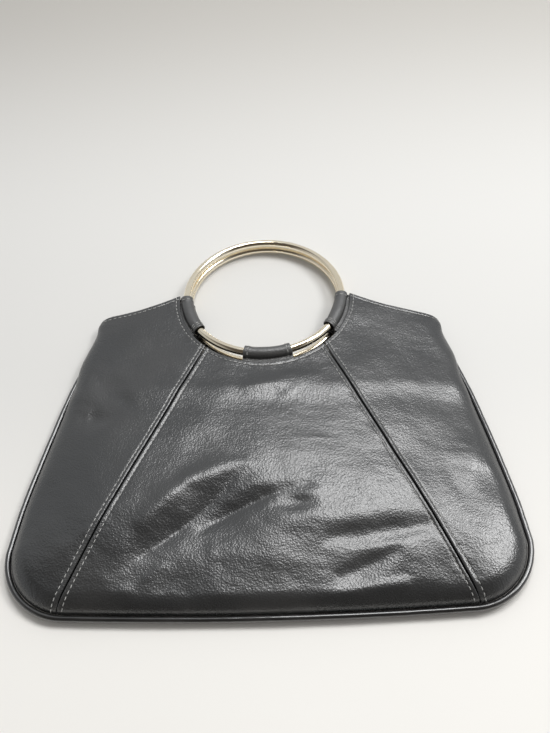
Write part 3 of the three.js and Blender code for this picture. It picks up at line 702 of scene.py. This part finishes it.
def makePiping():
    line = wholeOutline("piping")
    length = lengthsAlong(line)[-1]
    inset = piping["shorter"]
    ends = 3 * mm * (1 - np.cos(np.linspace(0, math.pi / 2, 7)))
    along = stations(length - 2 * inset, ends, ends, piping["step"]) + inset
    flat = pointAt(line, along)
    drift = piping["wander"] * waves(along, along * 0, 40 * mm, 21)
    centers = np.stack([flat[:, 0], flat[:, 1], piping["height"] + drift], 1)
    ups = np.tile([0.0, 0.0, 1.0], (len(along), 1))
    turn = np.linspace(0, 2 * math.pi, piping["sides"], endpoint=False)
    swell = waves(along, along * 0, 9 * mm, 22)[:, None] * np.cos(turn - 1)[None, :]
    swell += 0.6 * waves(along, along * 0, 5 * mm, 23)[:, None] * np.cos(2 * turn)[None, :]
    radii = bag["pipingDiameter"] / 2 - piping["thinner"] + piping["swell"] * np.clip(swell, -1.5, 0.8)
    fromEnd = np.minimum(along - along[0], along[-1] - along)
    radii *= np.maximum(quarter(fromEnd / (2 * mm)), 0.02)[:, None]
    return sweptPiece("piping_cord", centers, ups, radii)


pipingPiece = makePiping()


# Sleeves: straps folded round the handles, with their sewn ends behind the mouth edge
sleeve = {
    "leather": 1.0 * mm,
    "solid": 1.1 * mm,  # the solids' leather, which keeps its room beside the wire
    "slack": 0.5 * mm,
    "belly": 1.1 * mm,  # how far a side loop bulges towards the middle of the handle
    "neck": 0.3 * mm,  # where the two plies meet outside the loop
    "tail": 12 * mm,
    "side": 36 * mm,
    "sideTop": 2,
    "center": 35 * mm,
    "centerTurn": 2.4,
    "hem": 5 * mm,
    "hemRise": 0.22 * mm,
    "flare": 0.3 * mm,
    "flareLength": 7 * mm,
    "around": 90,
}
wireRadius = handle["wire"] / 2
clearances = {"wire": 0.35 * mm, "tail": 0.5 * mm, "ground": 0.25 * mm}
loopHalfHeight = wireRadius + clearances["wire"] + sleeve["solid"]
loopHalfWidth = wireRadius + sleeve["slack"] + sleeve["solid"]
rings = {
    "back": {"x": 0.0, "z": loopHalfHeight + clearances["ground"], "rise": handle["backRise"]},
    "front": {"x": -handle["aside"], "z": loopHalfHeight + clearances["ground"] + handle["apart"],
              "rise": handle["frontRise"]},
}


def wireAt(ring, degrees):
    angle = math.radians(degrees)
    tilt = math.asin(ring["rise"] / handle["radius"])
    return np.array([
        ring["x"] + handle["radius"] * math.cos(angle),
        handle["up"] + handle["radius"] * math.sin(angle) * math.cos(tilt),
        ring["z"] - handle["radius"] * math.sin(angle) * math.sin(tilt),
    ])


def tailHeight(panels, x, y):  # middle of a sewn end, just inside its panel
    step = 0.25 * mm
    places = np.array([(x, y), (x + step, y), (x - step, y), (x, y + step), (x, y - step)])
    z = plainHeights[panels](places[:, 0], places[:, 1])
    slope = math.hypot((z[1] - z[2]) / (2 * step), (z[3] - z[4]) / (2 * step))
    away = bag["leather"] * math.sqrt(1 + slope**2) + clearances["tail"] + sleeve["solid"]
    return z[0] - away if panels == "front" else z[0] + away


def plainFront(x, y):  # the front without its fine folds and sewing
    form, fade = frontForm(x, y)
    return form + dentsAt(x, y) * fade


def plainBack(x, y):
    return backForm(x, y)[0]


plainHeights = {"front": plainFront, "back": plainBack}


def tailReach(ring, degrees):  # how far from the handle's middle the sewn end may go
    sine, cosine = math.sin(math.radians(degrees)), math.cos(math.radians(degrees))
    edge = mouthRadius + sleeve["tail"] - bag["mouthDrop"] * sine
    if abs(sine) > math.sin(math.radians(bag["seamAngle"])):
        return edge
    line = shoulderLine("front", "left" if cosine < 0 else "right")
    out = np.abs(line[:, 0])
    start = handle["radius"] + loopHalfWidth + sleeve["solid"]
    reach = edge
    while reach > start:
        x, y = ring["x"] + reach * cosine, handle["up"] + reach * sine
        if abs(x) < out[0] or y < np.interp(abs(x), out, line[:, 1]) - 1.3 * mm:
            return reach
        reach -= 0.4 * mm
    return start


def strapLine(panels, ring, degrees, flare, belly):  # the strap's middle line at a place on the wire
    wire = wireAt(ring, degrees)
    out = np.array([math.cos(math.radians(degrees)), math.sin(math.radians(degrees)), 0])
    reach = tailReach(ring, degrees) - handle["radius"]
    neck = loopHalfWidth + sleeve["neck"]
    halfPly = sleeve["solid"] / 2
    wide, high = loopHalfWidth - halfPly + flare, loopHalfHeight - halfPly + flare * 0.3
    ends = []
    for radial in (reach, (reach + neck) / 2, neck):
        point = wire + out * radial
        ends.append((radial, tailHeight(panels, point[0], point[1]) - wire[2]))
    half = halfPly + 0.01 * mm
    turns = np.radians(np.linspace(-8, 292, 31))
    inner = wide + belly
    loop = [((wide if math.cos(a) > 0 else inner) * math.cos(a), high * math.sin(a)) for a in turns]
    upper = [(r, h + half) for r, h in ends]
    lower = [(r, h - half) for r, h in reversed(ends)]
    line = curveThrough(upper + loop + lower, 4)
    even = pointAt(line, np.linspace(0, lengthsAlong(line)[-1], sleeve["around"]))
    return wire + out * even[:, :1] + np.array([0, 0, 1]) * even[:, 1:]


def makeSleeve(panels, name, start, end, rowsAtEnd):
    ring = rings[panels]
    length = math.radians(end - start) * handle["radius"]
    close = np.array([0, 0.15, 0.4, 0.8, 1.3, 1.9, 2.6, 3.2, 3.8, 4.4, 5, 5.6, 6.4]) * mm
    along = stations(length, close, close, 0.75 * mm)
    fromEnds = np.minimum(along, length - along)
    middles = []
    for distance, nearEnd in zip(along, fromEnds):
        share = distance / length
        flare = sleeve["flare"] * float(smooth(1 - nearEnd / sleeve["flareLength"]))
        belly = sleeve["belly"] * math.sin(math.pi * share) * (0.2 if name == "center" else 1)
        middles.append(strapLine(panels, ring, start + (end - start) * share, flare, belly))
    middle = np.array(middles)
    around = np.linspace(0, 1, sleeve["around"])
    normals = gridNormals(middle)
    centers = np.array([wireAt(ring, start + (end - start) * d / length) for d in along])
    outward = middle - centers[:, None]
    if (normals * outward)[:, 30:60].sum() < 0:
        normals = -normals
    hem = sleeve["hemRise"] * smooth((sleeve["hem"] - fromEnds) / (0.8 * mm))
    hem = hem[:, None] * np.ones_like(around)
    top = bell(around - 0.33, 0.22, 4)[None, :]
    sewn = np.zeros_like(hem)
    sewnAt = [row if row > 0 else length + row for row in rowsAtEnd]
    for at in sewnAt:
        sewn += bell(along - at, 0.45 * mm)[:, None]
    gather = waves(along, along * 0, 5 * mm, 31 + len(name))[:, None] * bell(around - 0.08, 0.06)[None, :]
    wrinkle = waves(along[:, None] + 0 * around, around[None, :] * 30 * mm + 0 * along[:, None], 9 * mm, 37)
    raised = (hem - 0.16 * mm * sewn) * top + 0.14 * mm * gather + 0.05 * mm * wrinkle * top
    outer = middle + normals * (sleeve["leather"] / 2 + raised)[..., None]
    edge = np.minimum(fromEnds[:, None], np.minimum(around, 1 - around)[None, :] * 40 * mm)
    rub = np.clip(bell(fromEnds, 1.2 * mm)[:, None] + 0 * edge, 0, 1)
    piece = wallPiece(f"{panels}_{name}_strap", outer, edge, sleeve["leather"], normals, rub)
    nearest = [int(np.argmin(np.abs(along - at))) for at in sewnAt]
    span = slice(6, 62)
    return piece, [(outer[row, span], normals[row, span]) for row in nearest]


sideArc = math.degrees(sleeve["side"] / handle["radius"])
centerArc = math.degrees(sleeve["center"] / handle["radius"])
centerMiddle = -90 + sleeve["centerTurn"]
sleeveRows = [
    {"name": "left", "from": 180 + sleeve["sideTop"], "to": 180 + sleeve["sideTop"] + sideArc,
     "rows": [3.6 * mm, -2.4 * mm, -4.6 * mm]},
    {"name": "center", "from": centerMiddle - centerArc / 2, "to": centerMiddle + centerArc / 2,
     "rows": [3.4 * mm, -3.4 * mm]},
    {"name": "right", "from": -sleeve["sideTop"] - sideArc, "to": -sleeve["sideTop"],
     "rows": [2.4 * mm, 4.6 * mm, -3.6 * mm]},
]
straps, strapStitches = {}, []
for panelSide in ("front", "back"):
    for row in sleeveRows:
        strap, sewnRows = makeSleeve(panelSide, row["name"], row["from"], row["to"], row["rows"])
        straps[panelSide, row["name"]] = strap
        strapStitches += sewnRows
print("piping and sleeves made")


# Node trees are written as expressions. A signal is one socket of a tree.
class Signal:
    def __init__(self, tree, socket):
        self.tree = tree
        self.socket = socket

    def joined(self, operation, first, second):
        return self.tree.node("ShaderNodeMath", {"operation": operation}, {0: first, 1: second})

    def __add__(self, other):
        return self.joined("ADD", self, other)

    def __radd__(self, other):
        return self.joined("ADD", other, self)

    def __sub__(self, other):
        return self.joined("SUBTRACT", self, other)

    def __rsub__(self, other):
        return self.joined("SUBTRACT", other, self)

    def __mul__(self, other):
        return self.joined("MULTIPLY", self, other)


class Nodes:
    def __init__(self, tree):
        self.tree = tree

    def node(self, kind, settings=None, inputs=None, output=0):
        made = self.tree.nodes.new(kind)
        for name, value in (settings or {}).items():
            setattr(made, name, value)
        for name, value in (inputs or {}).items():
            if isinstance(value, Signal):
                self.tree.links.new(value.socket, made.inputs[name])
            else:
                made.inputs[name].default_value = value
        return Signal(self, made.outputs[output]) if len(made.outputs) else made

    def mixed(self, share, first, second):  # two colours
        settings = {"data_type": "RGBA"}
        return self.node("ShaderNodeMix", settings, {0: share, 6: first, 7: second}, 2)

    def ramp(self, value, low, high):  # eased from 0 at low to 1 at high
        inputs = {0: value, 1: low, 2: high}
        return self.node("ShaderNodeMapRange", {"interpolation_type": "SMOOTHSTEP"}, inputs)

    def noise(self, where, scale, detail=2.0, output=0):
        inputs = {"Vector": where, "Scale": scale, "Detail": detail}
        return self.node("ShaderNodeTexNoise", None, inputs, output)


def newFinish(name, base):  # a material with one Principled shader, and its constants
    material = bpy.data.materials.new(name)
    material.use_nodes = True
    nodes = material.node_tree.nodes
    shader = nodes["Principled BSDF"]
    for socket, value in base.items():
        shader.inputs[socket].default_value = value
    return material, Nodes(material.node_tree), shader


def feed(tree, signal, shader, socket):
    tree.tree.links.new(signal.socket, shader.inputs[socket])


def emboss(tree, height, shader):
    bump = tree.node("ShaderNodeBump", None, {"Strength": 1.0, "Distance": 1.0, "Height": height})
    feed(tree, bump, shader, "Normal")


def objectPlace(tree):
    return tree.node("ShaderNodeTexCoord", output="Object")


leatherLook = {
    "color": (0.016, 0.017, 0.0178, 1),
    "faded": (0.024, 0.0245, 0.0245, 1),
    "worn": (0.075, 0.075, 0.073, 1),
    # the inside face's colour, also used for the painted shade in the grain's valleys
    "inside": (0.014, 0.014, 0.014, 1),
    "rough": 0.2,
    "coat": 0.12,
    "grain": 1.25 * mm,
    "grainDepth": 0.135 * mm,
    "pore": 0.5 * mm,
    "poreDepth": 0.03 * mm,
    "pebble": 3.4 * mm,
    "pebbleDepth": 0.08 * mm,
}
strapLook = {
    **leatherLook,
    "color": (0.042, 0.043, 0.043, 1),
    "faded": (0.058, 0.058, 0.057, 1),
    "rough": 0.32,
    "grain": 0.9 * mm,
}


def makeLeather(name, look, gloss):
    base = {"Specular IOR Level": 0.95, "Coat Roughness": gloss, "Coat IOR": 1.5}
    material, tree, shader = newFinish(name, base)
    where = objectPlace(tree)
    warp = tree.noise(where, 0.4 / look["grain"], output="Color")
    shifted = tree.node("ShaderNodeVectorMath", {"operation": "MULTIPLY_ADD"},
                        {0: warp, 1: (look["grain"],) * 3, 2: where})
    cells = tree.node("ShaderNodeTexVoronoi", {"feature": "SMOOTH_F1"},
                      {"Vector": shifted, "Scale": 1 / look["grain"], "Smoothness": 0.5})
    pores = tree.noise(where, 1 / look["pore"])
    pebble = tree.noise(where, 1 / look["pebble"])
    broad = tree.noise(where, 22.0, 3.0)
    rub = tree.node("ShaderNodeAttribute", {"attribute_name": "rub"}, output="Fac")
    inside = tree.node("ShaderNodeAttribute", {"attribute_name": "inside"}, output="Fac")
    color = tree.mixed(tree.ramp(broad, 0.35, 0.7), look["color"], look["faded"])
    wear = tree.ramp(pores + broad * 0.8, 0.7, 1.2) * rub
    color = tree.mixed(wear * 0.6, color, look["worn"])
    # Painted shade: the low borders between the grain's cells are darkened halfway towards the inside
    # colour
    color = tree.mixed(tree.ramp(cells, 0.55, 0.95) * 0.5, color, look["inside"])
    color = tree.mixed(inside, color, look["inside"])
    feed(tree, color, shader, "Base Color")
    feed(tree, look["rough"] + broad * 0.08 + cells * 0.12 + inside * 0.3, shader, "Roughness")
    feed(tree, (1 - inside) * (1 - cells * 0.4) * look["coat"], shader, "Coat Weight")
    grain = (1 - cells) * look["grainDepth"] + pores * look["poreDepth"] + pebble * look["pebbleDepth"]
    emboss(tree, grain, shader)
    return material


def makeTrim():
    base = {"Specular IOR Level": 0.6, "Coat Weight": 1.0, "Coat Roughness": 0.1, "Coat IOR": 1.5}
    material, tree, shader = newFinish("glossyPipingLeather", base)
    where = objectPlace(tree)
    stretch = tree.noise(where, 420.0, 3.0)
    broad = tree.noise(where, 45.0, 3.0)
    dark, light = (0.008, 0.0082, 0.0086, 1), (0.018, 0.0175, 0.017, 1)
    color = tree.mixed(tree.ramp(broad, 0.3, 0.8), dark, light)
    feed(tree, color, shader, "Base Color")
    feed(tree, 0.26 + broad * 0.16, shader, "Roughness")
    emboss(tree, stretch * 0.03 * mm + broad * 0.15 * mm, shader)
    return material


def makeThread():
    material, tree, shader = newFinish("greyThread", {"Specular IOR Level": 0.4, "Sheen Weight": 0.3})
    where = objectPlace(tree)
    twist = tree.noise(where, 2600.0)
    along = tree.noise(where, 60.0, 1.0)
    color = tree.mixed(along, (0.26, 0.26, 0.25, 1), (0.5, 0.5, 0.48, 1))
    feed(tree, color, shader, "Base Color")
    feed(tree, 0.5 + twist * 0.25, shader, "Roughness")
    emboss(tree, twist * 0.06 * mm, shader)
    return material


def makeGilt():
    material, tree, shader = newFinish("paleGilt", {"Metallic": 1.0})
    where = objectPlace(tree)
    broad = tree.noise(where, 30.0, 4.0)
    haze = tree.noise(where, 190.0, 4.0)
    hair = tree.noise(where, 1500.0)
    color = tree.mixed(tree.ramp(broad, 0.35, 0.7), (0.93, 0.85, 0.69, 1), (0.88, 0.78, 0.6, 1))
    color = tree.mixed(tree.ramp(haze, 0.55, 0.8) * 0.3, color, (0.78, 0.71, 0.57, 1))
    feed(tree, color, shader, "Base Color")
    feed(tree, 0.14 + tree.ramp(haze, 0.4, 0.8) * 0.12, shader, "Roughness")
    emboss(tree, hair * 0.002 * mm + broad * 0.02 * mm, shader)
    return material


finishes = {
    "leather": makeLeather("charcoalLeather", leatherLook, 0.3),
    "strap": makeLeather("strapLeather", strapLook, 0.35),
    "piping": makeTrim(),
    "thread": makeThread(),
    "gilt": makeGilt(),
}
print("finishes made")


# Trees that make geometry: named inputs first, real meshes with their finish last
def newTree(name, result, kinds):
    tree = bpy.data.node_groups.new(name, "GeometryNodeTree")
    tree.interface.new_socket(result, in_out="OUTPUT", socket_type="NodeSocketGeometry")
    for socket, kind in kinds.items():
        tree.interface.new_socket(socket, in_out="INPUT", socket_type=f"NodeSocket{kind}")
    nodes = Nodes(tree)
    given = tree.nodes.new("NodeGroupInput")
    return nodes, {socket: Signal(nodes, given.outputs[socket]) for socket in kinds}


def endTree(nodes, made, finish, result):
    whole = nodes.node("GeometryNodeRealizeInstances", None, {0: made})
    painted = nodes.node("GeometryNodeSetMaterial", None, {"Geometry": whole, "Material": finish})
    last = nodes.tree.nodes.new("NodeGroupOutput")
    nodes.tree.links.new(painted.socket, last.inputs[result])
    return nodes.tree


# Handles: a round wire swept round a circle and tilted
def makeHandleTree():
    kinds = {"Radius": "Float", "Wire": "Float", "Steps": "Int", "Sides": "Int", "Middle": "Vector",
             "Tilt": "Vector", "Finish": "Material"}
    nodes, sockets = newTree("roundHandle", "Handle", kinds)
    circle = nodes.node("GeometryNodeCurvePrimitiveCircle", None,
                        {"Resolution": sockets["Steps"], "Radius": sockets["Radius"]})
    wire = nodes.node("GeometryNodeCurvePrimitiveCircle", None,
                      {"Resolution": sockets["Sides"], "Radius": sockets["Wire"] * 0.5})
    swept = nodes.node("GeometryNodeCurveToMesh", None, {"Curve": circle, "Profile Curve": wire})
    smoothed = nodes.node("GeometryNodeSetShadeSmooth", None, {0: swept})
    turn = nodes.node("FunctionNodeEulerToRotation", None, {0: sockets["Tilt"]})
    put = nodes.node("GeometryNodeTransform", None,
                     {"Geometry": smoothed, "Translation": sockets["Middle"], "Rotation": turn})
    return endTree(nodes, put, sockets["Finish"], "Handle")


def socketIds(tree):
    return {item.name: item.identifier for item in tree.interface.items_tree if item.in_out == "INPUT"}


def grown(name, seed, tree, values):  # a plain mesh of what a tree makes on a seed object
    modifier = seed.modifiers.new("grow", "NODES")
    modifier.node_group = tree
    ids = socketIds(tree)
    for socket, value in values.items():
        modifier[ids[socket]] = value
    seed.update_tag()
    bpy.context.view_layer.update()
    graph = bpy.context.evaluated_depsgraph_get()
    mesh = bpy.data.meshes.new_from_object(seed.evaluated_get(graph), depsgraph=graph)
    mesh.name = name
    seed.modifiers.remove(modifier)
    piece = bpy.data.objects.new(name, mesh)
    bpy.context.scene.collection.objects.link(piece)
    bpy.data.objects.remove(seed)
    return piece


def emptySeed():
    seed = bpy.data.objects.new("seed", bpy.data.meshes.new("seed"))
    bpy.context.scene.collection.objects.link(seed)
    return seed


handleTree = makeHandleTree()
handles = {}
for name, ring in rings.items():
    tilt = -math.asin(ring["rise"] / handle["radius"])
    values = {
        "Radius": handle["radius"],
        "Wire": handle["wire"],
        "Steps": handle["steps"],
        "Sides": handle["sides"],
        "Middle": (bagMiddle + ring["x"], bagBottom + handle["up"], ring["z"]),
        "Tilt": (tilt, 0.0, 0.0),
        "Finish": finishes["gilt"],
    }
    handles[name] = grown(f"{name}_handle_wire", emptySeed(), handleTree, values)
print("handles made")


# Stitches: a grain of thread at every pitch along each sewn line, lying along it
def makeStitchTree():
    kinds = {"Lines": "Geometry", "Pitch": "Float", "Length": "Float", "Thread": "Float", "Sink": "Float",
             "Seed": "Int", "Finish": "Material"}
    nodes, sockets = newTree("stitchedLine", "Stitches", kinds)
    curve = nodes.node("GeometryNodeMeshToCurve", None, {0: sockets["Lines"]})
    dots = nodes.node("GeometryNodeResampleCurve", {"mode": "LENGTH"},
                      {"Curve": curve, "Length": sockets["Pitch"]})
    tangent = nodes.node("GeometryNodeInputTangent")
    away = nodes.node("GeometryNodeInputNamedAttribute", {"data_type": "FLOAT_VECTOR"}, {"Name": "away"})
    along = nodes.node("FunctionNodeAlignRotationToVector", {"axis": "X"}, {"Vector": tangent})
    turned = nodes.node("FunctionNodeAlignRotationToVector", {"axis": "Z", "pivot_axis": "X"},
                        {"Rotation": along, "Vector": away})
    ball = nodes.node("GeometryNodeMeshUVSphere", None, {"Segments": 8, "Rings": 8, "Radius": 1.0})
    half = nodes.node("ShaderNodeCombineXYZ", None,
                      {0: sockets["Length"] * 0.5, 1: sockets["Thread"] * 0.5, 2: sockets["Thread"] * 0.5})
    grain = nodes.node("GeometryNodeTransform", None, {"Geometry": ball, "Scale": half})
    smoothed = nodes.node("GeometryNodeSetShadeSmooth", None, {0: grain})
    sunk = nodes.node("ShaderNodeVectorMath", {"operation": "SCALE"},
                      {0: away, "Scale": 0 - sockets["Sink"]})
    lowered = nodes.node("GeometryNodeSetPosition", None, {"Geometry": dots, "Offset": sunk})
    placed = nodes.node("GeometryNodeInstanceOnPoints", None,
                        {"Points": lowered, "Instance": smoothed, "Rotation": turned})
    low, high = (-0.06, -0.06, -0.09), (0.06, 0.06, 0.09)
    sway = nodes.node("FunctionNodeRandomValue", {"data_type": "FLOAT_VECTOR"},
                      {0: low, 1: high, "Seed": sockets["Seed"]})
    swayTurn = nodes.node("FunctionNodeEulerToRotation", None, {0: sway})
    swayed = nodes.node("GeometryNodeRotateInstances", None, {"Instances": placed, "Rotation": swayTurn})
    return endTree(nodes, swayed, sockets["Finish"], "Stitches")


def onPanel(panels, flat):  # sewn line on a panel's face: its points and which way is out
    step = 0.2 * mm
    x, y = flat[:, 0], flat[:, 1]
    height = heights[panels]
    z = height(x, y)
    slopeX = (height(x + step, y) - height(x - step, y)) / (2 * step)
    slopeY = (height(x, y + step) - height(x, y - step)) / (2 * step)
    normals = np.stack([-slopeX, -slopeY, np.ones_like(x)], 1)
    normals /= np.linalg.norm(normals, axis=1)[:, None]
    if panels == "back":
        normals = -normals
    return np.stack([x, y, z], 1), normals


def besideLine(line, distance):  # a line moved to its left by a distance
    along = np.gradient(line, axis=0)
    along /= np.linalg.norm(along, axis=1)[:, None]
    return line + np.stack([-along[:, 1], along[:, 0]], 1) * distance


def panelSewing(panels):
    found = []
    edgeTurn = math.degrees(sewing["besideEdge"] / mouthRadius)
    rise = bag["mouthRise"]
    ends = np.linspace(180 - rise["left"] + edgeTurn, 360 + rise["right"] - edgeTurn, 160)
    arc = (mouthPoint(ends) - (0, mouthUp)) * (1 + sewing["besideEdge"] / mouthRadius) + (0, mouthUp)
    found.append(arc)
    for sideName, side in sides.items():
        line = shoulderLine(panels, sideName)
        moved = besideLine(line, -side * sewing["besideEdge"])
        lengths = lengthsAlong(moved)
        keep = (lengths > sewing["besideEdge"]) & (lengths < lengths[-1] - 2 * mm)
        found.append(moved[keep])
        foot, top = seams[sideName]
        share = np.linspace(0, 1, 160)[:, None]
        seam = foot + (top - foot) * share
        for turn in (-1, 1):
            beside = besideLine(seam, turn * sewing["besideSeam"])
            fromMouth = np.hypot(beside[:, 0], beside[:, 1] - mouthUp) - mouthRadius
            inside = fromMouth > sewing["besideEdge"] + 0.6 * mm
            distance, _, where = nearestOn(wholeOutline(panels), beside)
            found.append(beside[inside & (where > 0) & (distance > 0.7 * mm)])
    return found


def makeStitches(name, lines, sink):
    points = np.concatenate([place(line) for line, _ in lines])
    aways = np.concatenate([away for _, away in lines])
    edges, first = [], 0
    for line, _ in lines:
        edges += [(first + i, first + i + 1) for i in range(len(line) - 1)]
        first += len(line)
    mesh = bpy.data.meshes.new(name)
    mesh.from_pydata(points.tolist(), edges, [])
    layer = mesh.attributes.new("away", "FLOAT_VECTOR", "POINT")
    layer.data.foreach_set("vector", aways.astype(np.float32).ravel())
    seed = bpy.data.objects.new("seed", mesh)
    bpy.context.scene.collection.objects.link(seed)
    values = {"Pitch": sewing["pitch"], "Length": sewing["length"], "Thread": sewing["thread"],
              "Sink": sink, "Seed": 7, "Finish": finishes["thread"]}
    return grown(name, seed, stitchTree, values)


stitchTree = makeStitchTree()
stitches = {}
for panelSide in ("front", "back"):
    sewn = [onPanel(panelSide, line) for line in panelSewing(panelSide)]
    stitches[panelSide] = makeStitches(f"{panelSide}_stitches", sewn, sewing["sunk"][panelSide])
stitches["straps"] = makeStitches("sleeve_stitches", strapStitches, sewing["sunk"]["straps"])
print("stitches made")


# What each piece is, what it stands for and what it moves with
def dress(piece, finish, slotName, body, replaced=()):
    if not piece.data.materials:
        piece.data.materials.append(finish)
    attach(piece, body)
    if replaced:
        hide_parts(*replaced)


for (panelSide, part), piece in panels.items():
    dress(piece, finishes["leather"], "black_leather", "bag", [f"{panelSide}_{part}_panel"])
for (panelSide, part), piece in straps.items():
    dress(piece, finishes["strap"], "sleeve_leather", "bag", [f"{panelSide}_{part}_sleeve"])
dress(pipingPiece, finishes["piping"], "piping_leather", "bag", ["piping"])
for name, piece in handles.items():
    dress(piece, finishes["gilt"], "pale_gold", f"{name}_handle", [f"{name}_ring"])
for name, piece in stitches.items():
    dress(piece, finishes["thread"], "sleeve_leather" if name == "straps" else "black_leather", "bag")


# Floor, light and camera
studio = {
    "reach": 4,  # metres of floor to each side
    "under": 0.4 * mm,
    "floor": (0.8, 0.785, 0.75, 1),
    "mottle": (0.815, 0.8, 0.765, 1),
    # painted shade: darker floor tones further from the bag
    "shadedFloorMid": (0.665, 0.66, 0.64, 1),
    "shadedFloorFar": (0.48, 0.465, 0.435, 1),
    # painted shade: the floor darkens between these lengths up from the bag's bottom, standing in for the
    # light falling off further away
    "paintedShadeMid": (-40 * mm, 220 * mm),
    "paintedShadeFar": (330 * mm, 780 * mm),
    "far": (0.62, 0.63, 0.64, 1),
    "near": (0.09, 0.078, 0.068, 1),
    # the room goes from near to far between these heights of the view, and towards its sides
    "farFrom": (0.16, 0.46),
    "sideFrom": (0.3, 0.75),
    "strength": 1.0,
}
lamps = [
    # shine on the lower half of the front
    {"name": "softbox", "middle": (0.22, 0.56, 1.5), "size": (0.6, 0.55), "power": 11.6, "shines": True},
    # shine on the right side panel
    {"name": "rightSoftbox", "middle": (0.92, 0.3, 1.25), "size": (0.6, 0.42), "power": 11, "shines": True},
    # even light that gives no shine
    {"name": "ceiling", "middle": (0, -0.7, 1.9), "size": (3, 3), "power": 10.5, "shines": False},
]


def makeFloor():
    turns = [(-1, -1), (1, -1), (1, 1), (-1, 1)]
    corners = [(x * studio["reach"], y * studio["reach"], -studio["under"]) for x, y in turns]
    mesh = bpy.data.meshes.new("floor")
    mesh.from_pydata(corners, [], [(0, 1, 2, 3)])
    floor = bpy.data.objects.new("floor", mesh)
    bpy.context.scene.collection.objects.link(floor)
    material, tree, shader = newFinish("paleFloor", {"Roughness": 0.85, "Specular IOR Level": 0.2})
    where = objectPlace(tree)
    color = tree.mixed(tree.noise(where, 9.0, 3.0), studio["floor"], studio["mottle"])
    y = tree.node("ShaderNodeSeparateXYZ", None, {0: where}, 1)
    # Painted shade: the floor's colour darkens in two steps further from the bag's bottom, in place of
    # light falling off
    for reach, tone in (("paintedShadeMid", "shadedFloorMid"), ("paintedShadeFar", "shadedFloorFar")):
        start, end = (bagBottom + length for length in studio[reach])
        color = tree.mixed(tree.ramp(y, start, end), color, studio[tone])
    feed(tree, color, shader, "Base Color")
    mesh.materials.append(material)


def makeWorld():
    world = bpy.data.worlds.new("paleRoom")
    bpy.context.scene.world = world
    world.use_nodes = True
    tree = Nodes(world.node_tree)
    backdrop = world.node_tree.nodes["Background"]
    way = tree.node("ShaderNodeTexCoord", output="Generated")
    x, y, z = (tree.node("ShaderNodeSeparateXYZ", None, {0: way}, axis) for axis in range(3))
    bright = tree.ramp(y + z * 0.12, *studio["farFrom"])
    beside = tree.ramp(x * x, *studio["sideFrom"])
    share = tree.node("ShaderNodeMath", {"operation": "MAXIMUM"}, {0: bright, 1: beside * 0.8})
    color = tree.mixed(share, studio["near"], studio["far"])
    world.node_tree.links.new(color.socket, backdrop.inputs["Color"])
    backdrop.inputs["Strength"].default_value = studio["strength"]


def makeLamp(row):
    lamp = bpy.data.lights.new(row["name"], "AREA")
    lamp.shape = "RECTANGLE"
    lamp.size, lamp.size_y = row["size"]
    lamp.energy = row["power"]
    light = bpy.data.objects.new(row["name"], lamp)
    light.location = row["middle"]
    light.rotation_euler = (-Vector(row["middle"])).to_track_quat("-Z", "Y").to_euler()
    light.visible_glossy = row["shines"]
    bpy.context.scene.collection.objects.link(light)


# The camera's place is measured from the middle of the bag's bottom edge
view = {"aside": 19.4 * mm, "back": 158 * mm, "height": 471.6 * mm, "down": 53.167, "heading": 2.028,
        "roll": -3.445, "lens": 38.33}


def makeCamera():
    lens = bpy.data.cameras.new("camera")
    lens.sensor_width = 36
    lens.lens = view["lens"]
    lens.clip_start = 0.01
    camera = bpy.data.objects.new("camera", lens)
    turn = Matrix.Rotation(math.radians(view["heading"]), 4, "Z")
    turn = turn @ Matrix.Rotation(math.radians(90 - view["down"]), 4, "X")
    turn = turn @ Matrix.Rotation(math.radians(view["roll"]), 4, "Z")
    spot = Vector((bagMiddle + view["aside"], bagBottom - view["back"], view["height"]))
    camera.matrix_world = Matrix.Translation(spot) @ turn
    bpy.context.scene.collection.objects.link(camera)
    bpy.context.scene.camera = camera


makeFloor()
makeWorld()
for row in lamps:
    makeLamp(row)
makeCamera()
bpy.context.scene.view_settings.view_transform = "Standard"
print("studio set")
